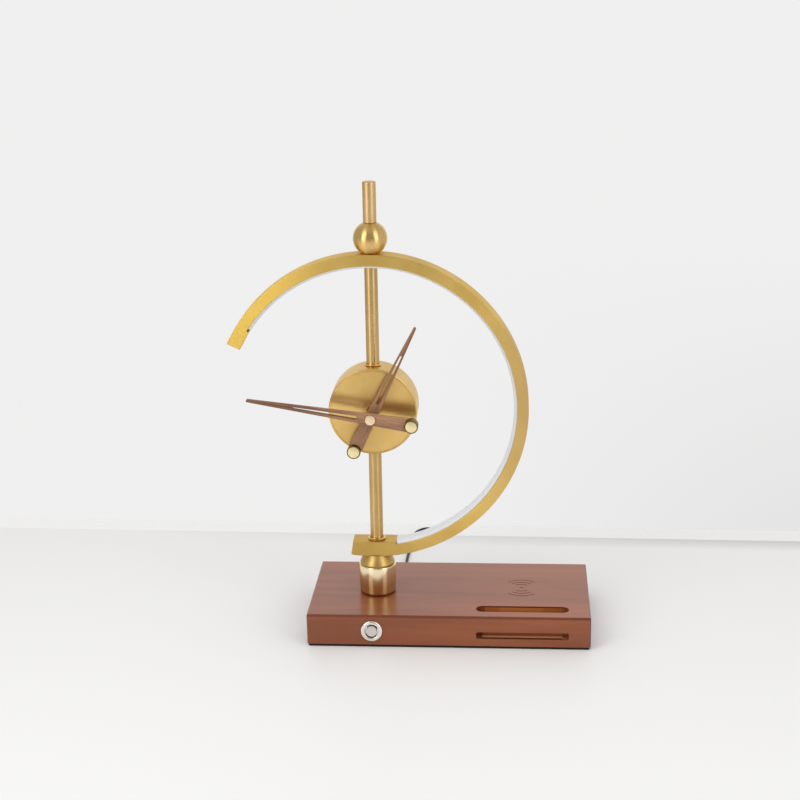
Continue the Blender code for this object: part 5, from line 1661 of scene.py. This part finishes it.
@dataclass
class PowerCord:
    """The black cord: the plug in the base, the lead, the coil with its tie, and the far plug."""

    radius: float = 1.4
    relief_end: float = 29.4
    turns_in: float = 5.0
    turns_out: float = 4.75
    pitch: float = 3.5
    inner: float = 6.8
    coil: Spot = (-24.0, 92.0, 2.4)
    usb: Spot = (34.0, 76.0, 4.4)
    joint: float = 0.3
    step: float = 3.0
    tail_shares: tuple[Spot, ...] = ((0.38, 0.12, 0.2), (0.72, 0.6, 0.7))
    plug_foot: float = 1.8
    plug_grip: float = 18.0
    route: tuple[Spot, ...] = (
        (0.0, 37.5, 11.0), (0.0, 50.5, 5.6), (-0.2, 63.4, 2.1), (-0.3, 79.9, 1.6), (0.8, 97.9, 1.6),
        (4.2, 113.4, 1.6), (10.4, 125.5, 1.6), (17.8, 133.7, 1.6), (24.0, 140.5, 1.6), (29.2, 148.2, 1.6),
        (32.0, 156.7, 1.6), (36.4, 162.9, 1.6), (42.3, 166.3, 1.6), (48.3, 165.1, 1.6), (52.9, 159.5, 1.6),
        (55.2, 150.9, 1.6), (53.0, 141.1, 1.6), (46.4, 134.0, 1.6), (38.5, 129.0, 1.6), (31.8, 121.7, 1.6),
        (28.2, 111.6, 1.6), (27.2, 98.9, 1.6), (26.5, 80.5, 1.6), (27.1, 61.5, 1.8))

    def coil_points(self, per_turn: int = 48) -> list[Vector]:
        """Give the coil's points, spiralling in below and out above.

        Args:
            per_turn: The points in a turn.

        Returns:
            The points.
        """
        half_turn = 0.5  # the rise from the lower to the upper layer
        turns = self.turns_in + half_turn + self.turns_out
        x, y, z = self.coil
        points = []
        for i in range(round(turns * per_turn) + 1):
            turn = i / per_turn
            radius = self.inner + self.pitch * abs(turn - self.turns_in - half_turn / 2)
            share = min(max((turn - self.turns_in) / half_turn, 0.0), 1.0)
            angle = pi + 2 * pi * turn
            rise = self.pitch * (1 - cos(pi * share)) / 2
            points.append(Vector((x + radius * cos(angle), y + radius * sin(angle), z + rise)))
        points.insert(0, points[0] + Vector((0, 2 * self.radius, 0)))
        angle = pi + 2 * pi * turns
        points.append(points[-1] + 2 * self.radius * Vector((-sin(angle), cos(angle), 0)))
        return points

    @staticmethod
    def smooth(points: Sequence[Vector], step: float) -> list[Vector]:
        """Read evenly spaced points from a smooth curve through the given ones.

        Args:
            points: The curve's own points.
            step: The wanted spacing.

        Returns:
            The evenly spaced points.
        """
        between = 24
        route = [2 * points[0] - points[1], *points, 2 * points[-1] - points[-2]]
        dense = []
        for a, b, c, d in zip(route, route[1:], route[2:], route[3:]):
            for i in range(between):
                t = i / between
                dense.append(0.5 * (2 * b + (c - a) * t + (2 * a - 5 * b + 4 * c - d) * t ** 2
                                    + (3 * b - a - 3 * c + d) * t ** 3))
        dense.append(route[-2])
        reach = [0.0]
        for a, b in zip(dense, dense[1:]):
            reach.append(reach[-1] + (b - a).length)
        wanted = np.linspace(0.0, reach[-1], max(2, ceil(reach[-1] / step)) + 1)
        columns = [np.interp(wanted, reach, [point[k] for point in dense]) for k in range(3)]
        return [Vector(values) for values in zip(*columns)]

    def path(self) -> list[Vector]:
        """Give the whole cord's centreline.

        Returns:
            The points.
        """
        coil = self.coil_points()
        jack, grip = Vector(JACK), Vector(self.usb)
        first = coil[0] + Vector((0, self.joint, 0))
        foot = Vector((jack.x, jack.y, 0))
        lead = [jack + Vector((0, self.relief_end, 0)), *(foot + Vector(point) for point in self.route),
                first + Vector((0, 4 * self.radius, 0)), first]
        heading = (coil[-1] - coil[-2]).normalized()
        start, near = coil[-1] + 5 * heading, grip - Vector((14, 0, 0))
        reach = near - start
        between = [start + Vector((a * reach.x, b * reach.y, c * reach.z)) for a, b, c in self.tail_shares]
        tail = [coil[-1] + self.joint * heading, start, *between, near, grip - Vector((8.3, 0, 0))]
        return [*self.smooth(lead, self.step), *coil[1:-1], *self.smooth(tail, self.step)]

    def sweep(self) -> tuple[bpy.types.Object, float]:
        """Make the cord itself.

        Returns:
            The cord and its length in metres.
        """
        points = [point * MM for point in self.path()]
        curve = bpy.data.curves.new("power_cord", "CURVE")
        curve.dimensions = "3D"
        curve.bevel_depth = self.radius * MM
        curve.bevel_resolution = 3
        curve.use_fill_caps = True
        spline = curve.splines.new("POLY")
        spline.points.add(len(points) - 1)
        for spot, point in zip(spline.points, points):
            spot.co = (*point, 1.0)
        cord = into_scene("power_cord", curve)
        settle_piece(cord, CABLE, Body.LAMP, ["cord_lead", "cord_coil", "cord_tail"])
        return cord, sum((b - a).length for a, b in zip(points, points[1:]))

    def barrel_plug(self) -> bpy.types.Object:
        """Make the plug in the jack, with its ribbed strain relief.

        Returns:
            The piece.
        """
        low, high = self.plug_foot, self.plug_foot + self.plug_grip
        radii = [2.0 + 0.125 * i for i in range(8)]
        tip = [(0, high + 9.0), (1.75, high + 9.0), (1.9, high + 8.8)]
        grip = [(3.9, high), (4.3, high - 0.25), (4.5, high - 0.7),
                (4.5, low + 0.7), (4.3, low + 0.2), (4.0, low)]
        pin = [(2.7, low), (2.7, low - 9.0), (1.4, low - 9.0), (1.4, low), (0, low)]
        profile = [*tip, *relief_ribs(high + 8.4, 1.05, radii, (0.6, 0.7, 0.95), 0.35), *grip, *pin]
        plug = Shape.lathe(profile, 64).moved(ON_JACK)
        return plug.publish("barrel_plug", CABLE, Body.LAMP, ["dc_plug"], "rubber")

    def socket(self) -> None:
        """Make the jack's rim in the back of the base."""
        contact = [(0, 0.8), (0.7, 0.8), (0.95, 0.4), (0.95, -7.5), (3.0, -7.5)]
        rim = [(3.0, 1.5), (3.3, 1.8), (6.2, 1.8), (6.6, 1.6), (6.8, 1.2), (6.8, 0.3)]
        profile = [*contact, *rim, (5.5, 0.3), (5.5, -13.5), (0, -13.5)]
        Shape.lathe(profile, 64).moved(ON_JACK).publish("jack_rim", BLACK, Body.LAMP, ["dc_jack"], "black")

    def usb_block(self, low: Spot, high: Spot, edge: float = 0.0, segments: int = 3) -> Shape:
        """Make a box between two corners that are given from the far plug's foot."""
        return Shape.block(Vector(self.usb) + Vector(low), Vector(self.usb) + Vector(high), edge, segments)

    def far_grip(self) -> bpy.types.Object:
        """Make the moulded grip at the cord's far end, with its strain relief.

        Returns:
            The piece.
        """
        radii = [2.45 - 0.12 * i for i in range(6)]
        profile = [(0, 2), (2.6, 2), (2.6, -0.5), *relief_ribs(-0.9, 1.15, radii, (0.7, 0.8, 1.05), 0.3),
                   (1.8, -8.0), (0, -8.0)]
        grip = self.usb_block((0, -7.8, -3.8), (25, 7.8, 3.8), 1.4, 4)
        grip.carved(Shape.lathe(profile, 48).moved(Facing.RIGHT.at(*self.usb)), operation="UNION")
        mouth = self.usb_block((18.7, -6.3, -2.55), (27, 6.3, 2.55))
        ribs = [self.usb_block((start, -9, 3.5), (start + 1.2, 9, 5)) for start in (5, 8, 11, 14)]
        grip.carved(mouth, *ribs)
        return grip.publish("far_plug_grip", CABLE, Body.LAMP, ["usb_grip"], "rubber", 30, even=True)

    def far_shell(self) -> bpy.types.Object:
        """Make the far plug's metal shell with its two square holes.

        Returns:
            The piece.
        """
        shell = self.usb_block((19, -6, -2.25), (37, 6, 2.25), 0.5, 2)
        inside = self.usb_block((20, -5.5, -1.75), (40, 5.5, 1.75))
        holes = [self.usb_block((29, side - 1.2, 0), (31.4, side + 1.2, 4)) for side in (-3, 3)]
        shell.carved(inside, *holes)
        return shell.publish("far_plug_shell", NICKEL_PLAIN, Body.LAMP, ["usb_shell"], "nickel", 30,
                             even=True)

    def far_tongue(self) -> bpy.types.Object:
        """Make the tongue in the far plug's shell."""
        tongue = self.usb_block((20.5, -5.3, 0.1), (36, 5.3, 1.5), 0.2, 1)
        return tongue.publish("far_plug_tongue", BLACK, Body.LAMP, slot="black")

    def tie(self) -> bpy.types.Object:
        """Make the woven band round one side of the coil.

        Returns:
            The piece.
        """
        slack, thick = 0.3, 0.6
        outer = self.inner + self.pitch * (self.turns_in + 0.25) + self.radius + 2 * slack
        inner = self.inner - self.radius - 1.5
        low = self.coil[2] - self.radius - slack
        high = self.coil[2] + self.pitch + self.radius + slack
        x, y = (outer + inner) / 2, (low + high) / 2
        loops = []
        for grow, corner in ((2 * thick, 1.1), (0.0, 0.6)):
            loop = rounded(outer - inner + grow, high - low + grow, corner, 4)
            loops.append([(a + x, b + y) for a, b in loop])
        tie = Shape.plate(loops, -3.0, 3.0, 0.15, 2).moved(Facing.FRONT.at(self.coil[0], self.coil[1], 0))
        return tie.publish("coil_band", TIE, Body.LAMP, ["coil_tie"], "black", 30)

    def build(self) -> None:
        self.socket()
        fittings = [self.barrel_plug(), self.tie(), self.far_grip(), self.far_shell(), self.far_tongue()]
        cord, length = self.sweep()
        LOG.info("cord of %.3f m", length)


def dress_hidden_nodes() -> None:
    """Give the solids that stay, most of them inside the base and the column, their own finishes."""
    nodes = {obj.name.split(".")[0]: obj for obj in bpy.data.objects if obj.type == "MESH"}
    finishes = {
        COVER: ["base_cover"],
        WINDING: ["charging_coil"],
        FERRITE: ["ferrite_disc"],
        GREEN: ["charger_board"],
        ZINC: ["stud_washer", "stud_nut", "base_stud", "drum_lower_stud", "drum_upper_stud", "drum_lower_nut",
               "drum_upper_nut", "ring_stud", "hour_tube", "minute_shaft"],
        STRIP: ["led_strip_right", "led_strip_left"],
        NICKEL_PLAIN: ["button_nut"],
    }
    for finish, names in finishes.items():
        for name in names:
            for slot in nodes[name].material_slots:
                slot.material = material_of(finish)
            LOG.info("%s keeps its solid", name)


@dataclass(frozen=True)
class SoftBox:
    """One soft lamp: where it hangs, its size in metres, its brightness and whether metal mirrors it."""

    name: str
    place: Spot
    size: Point
    brightness: float
    mirrored: bool = True

    def build(self) -> None:
        """Hang the lamp so that it faces the clock."""
        data = bpy.data.lights.new(self.name, "AREA")
        data.shape = "RECTANGLE"
        data.size, data.size_y = self.size
        data.energy = self.brightness * pi * self.size[0] * self.size[1]
        lamp = into_scene(self.name, data)
        lamp.location = self.place
        away = Vector(self.place) - Vector(LAMPS_FACE)
        lamp.rotation_euler = away.to_track_quat("Z", "Y").to_euler()
        lamp.visible_glossy = self.mirrored


@dataclass
class Studio:
    """The camera, the table and the light."""

    lens: float = 72.207
    sensor: float = 36.0
    camera_place: Spot = (0.06302, -1.40011, 0.6429)
    yaw: float = -4.407
    pitch: float = 16.849
    roll: float = -1.05
    table_size: float = 3.0
    table_back: float = 0.2146
    table_slant: float = -0.0193
    table_shade: float = 0.028
    table_shade_depth: float = 0.34
    shade_ends: Point = (-0.35, 0.45)
    strip: float = 0.03
    # The strip behind the shaded line is painted paler than the table, most of all at the left, as the wall behind
    # it is lit.
    strip_light_and_shade: Point = (1.08, 0.93)
    table: Colour = (0.882, 0.892, 0.91)
    wall: Colour = (0.872, 0.868, 0.868)
    # How dark the painted shade at the wall's lower right is.
    wall_corner_shade: float = 0.9
    left_side: Colour = (0.50, 0.49, 0.47)
    right_side: Colour = (0.68, 0.67, 0.65)
    behind_camera: Colour = (0.34, 0.32, 0.29)
    ceiling: Colour = (0.58, 0.56, 0.52)
    lamps: tuple[SoftBox, ...] = (
        SoftBox("left_soft_box", (-0.99, -1.09, 0.85), (0.7, 1.5), 2.15),
        SoftBox("right_soft_box", (1.02, -0.98, 0.85), (0.66, 1.5), 1.7),
        SoftBox("overhead_soft_box", (-0.2, -0.35, 1.6), (1.6, 1.6), 1.0, mirrored=False),
    )

    def camera(self) -> None:
        """Set the camera as the photograph has it."""
        yaw, pitch, roll = radians(self.yaw), radians(self.pitch), radians(self.roll)
        forward = Vector((sin(yaw) * cos(pitch), cos(yaw) * cos(pitch), -sin(pitch)))
        level = Vector((cos(yaw), -sin(yaw), 0))
        above = level.cross(forward)
        right = cos(roll) * level + sin(roll) * above
        up = -sin(roll) * level + cos(roll) * above
        data = bpy.data.cameras.new("camera")
        data.sensor_width = self.sensor
        data.lens = self.lens
        data.clip_start = 0.05
        data.clip_end = 50.0
        camera = into_scene("camera", data)
        turn = Matrix((right, up, -forward)).transposed().to_4x4()
        camera.matrix_world = Matrix.Translation(self.camera_place) @ turn
        bpy.context.scene.camera = camera

    def table_material(self) -> bpy.types.Material:
        """Paint the pale table, with a shaded line where it meets the wall and a paler strip behind, painted lighter
        at the left than at the right.

        Returns:
            The material.
        """
        material = bpy.data.materials.new("pale_table")
        material.use_nodes = True
        nodes = Nodes(material.node_tree)
        spot = nodes.node("ShaderNodeTexCoord").outputs["Object"]
        inward = nodes.vector("DOT_PRODUCT", spot, (self.table_slant, -1.0, 0.0))
        near = nodes.spread(inward, self.table_shade - self.table_back, -self.table_back)
        across = nodes.vector("DOT_PRODUCT", spot, (1.0, 0.0, 0.0))
        rightward = nodes.spread(across, *self.shade_ends, 0.0, self.table_shade_depth)
        shaded = nodes.blend(nodes.math("MULTIPLY", near, rightward), self.table, (0.0, 0.0, 0.0))
        beyond = nodes.spread(inward, 0.0005 - self.table_back, -self.table_back)
        # The strip's painted light: lighter at the left, less so at the right.
        pale = nodes.blend(rightward, *(tuple(tone * c for c in self.table) for tone in self.strip_light_and_shade))
        shader = material.node_tree.nodes["Principled BSDF"]
        nodes.feed(shader.inputs["Base Color"], nodes.blend(beyond, shaded, pale))
        shader.inputs["Roughness"].default_value = 0.45
        shader.inputs["Specular IOR Level"].default_value = 0.3
        return material

    def floor(self) -> None:
        """Lay the table, which ends at the wall."""
        mesh = bpy.data.meshes.new("table")
        flat = bmesh.new()
        bmesh.ops.create_grid(flat, x_segments=1, y_segments=1, size=self.table_size)
        for corner in flat.verts:
            if corner.co.y > 0:
                corner.co.y = self.table_back + self.strip + self.table_slant * corner.co.x
        flat.to_mesh(mesh)
        flat.free()
        mesh.materials.append(self.table_material())
        into_scene("table", mesh)

    def room(self) -> None:
        """Light the room: the white wall behind, with painted shade at its lower right, dark sides, and a dim room
        behind the camera.
        """
        world = bpy.data.worlds.new("room")
        bpy.context.scene.world = world
        world.use_nodes = True
        nodes = Nodes(world.node_tree)
        direction = nodes.node("ShaderNodeTexCoord").outputs["Generated"]
        level = nodes.vector("NORMALIZE", nodes.vector("MULTIPLY", direction, (1.0, 1.0, 0.0)))
        toward = nodes.vector("DOT_PRODUCT", level, (0.0, -1.0, 0.0))
        height = nodes.vector("DOT_PRODUCT", direction, (0.0, 0.0, 1.0))
        across = nodes.vector("DOT_PRODUCT", level, (1.0, 0.0, 0.0))
        tone = nodes.blend(nodes.spread(across, 0.0, 0.9), self.left_side, self.right_side)
        tone = nodes.blend(nodes.spread(toward, 0.50, 0.85), tone, self.behind_camera)
        tone = nodes.blend(nodes.spread(toward, -0.70, -0.92), tone, self.wall)
        tone = nodes.blend(nodes.spread(height, 0.50, 0.80), tone, self.ceiling)
        path = nodes.node("ShaderNodeLightPath")
        seen = nodes.math("MAXIMUM", path.outputs["Is Camera Ray"], path.outputs["Is Transmission Ray"])
        # Painted shade on the wall's lower right, near its foot, where the camera sees it.
        corner = nodes.math("MULTIPLY", nodes.spread(across, -0.06, 0.17), nodes.spread(height, -0.20, -0.36))
        wall = nodes.blend(corner, self.wall, tuple(self.wall_corner_shade * c for c in self.wall))
        background = nodes.tree.nodes["Background"]
        nodes.feed(background.inputs["Color"], nodes.blend(seen, tone, wall))
        background.inputs["Strength"].default_value = 1.0

    def build(self) -> None:
        """Set up the camera, the table, the room and the lamps."""
        self.camera()
        self.floor()
        self.room()
        for lamp in self.lamps:
            lamp.build()
        bpy.context.scene.view_settings.view_transform = "Standard"


def main() -> None:
    """Build the dressed object from its sub-assemblies, and its studio."""
    logging.basicConfig(level=logging.INFO, format="%(message)s", stream=sys.stdout)
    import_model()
    for assembly in (Studio, PowerCord, WoodenBase, PushButton, Foot, LampRing, Column, ClockDrum, Hands):
        assembly().build()
    dress_hidden_nodes()


if __name__ == "__main__":
    main()
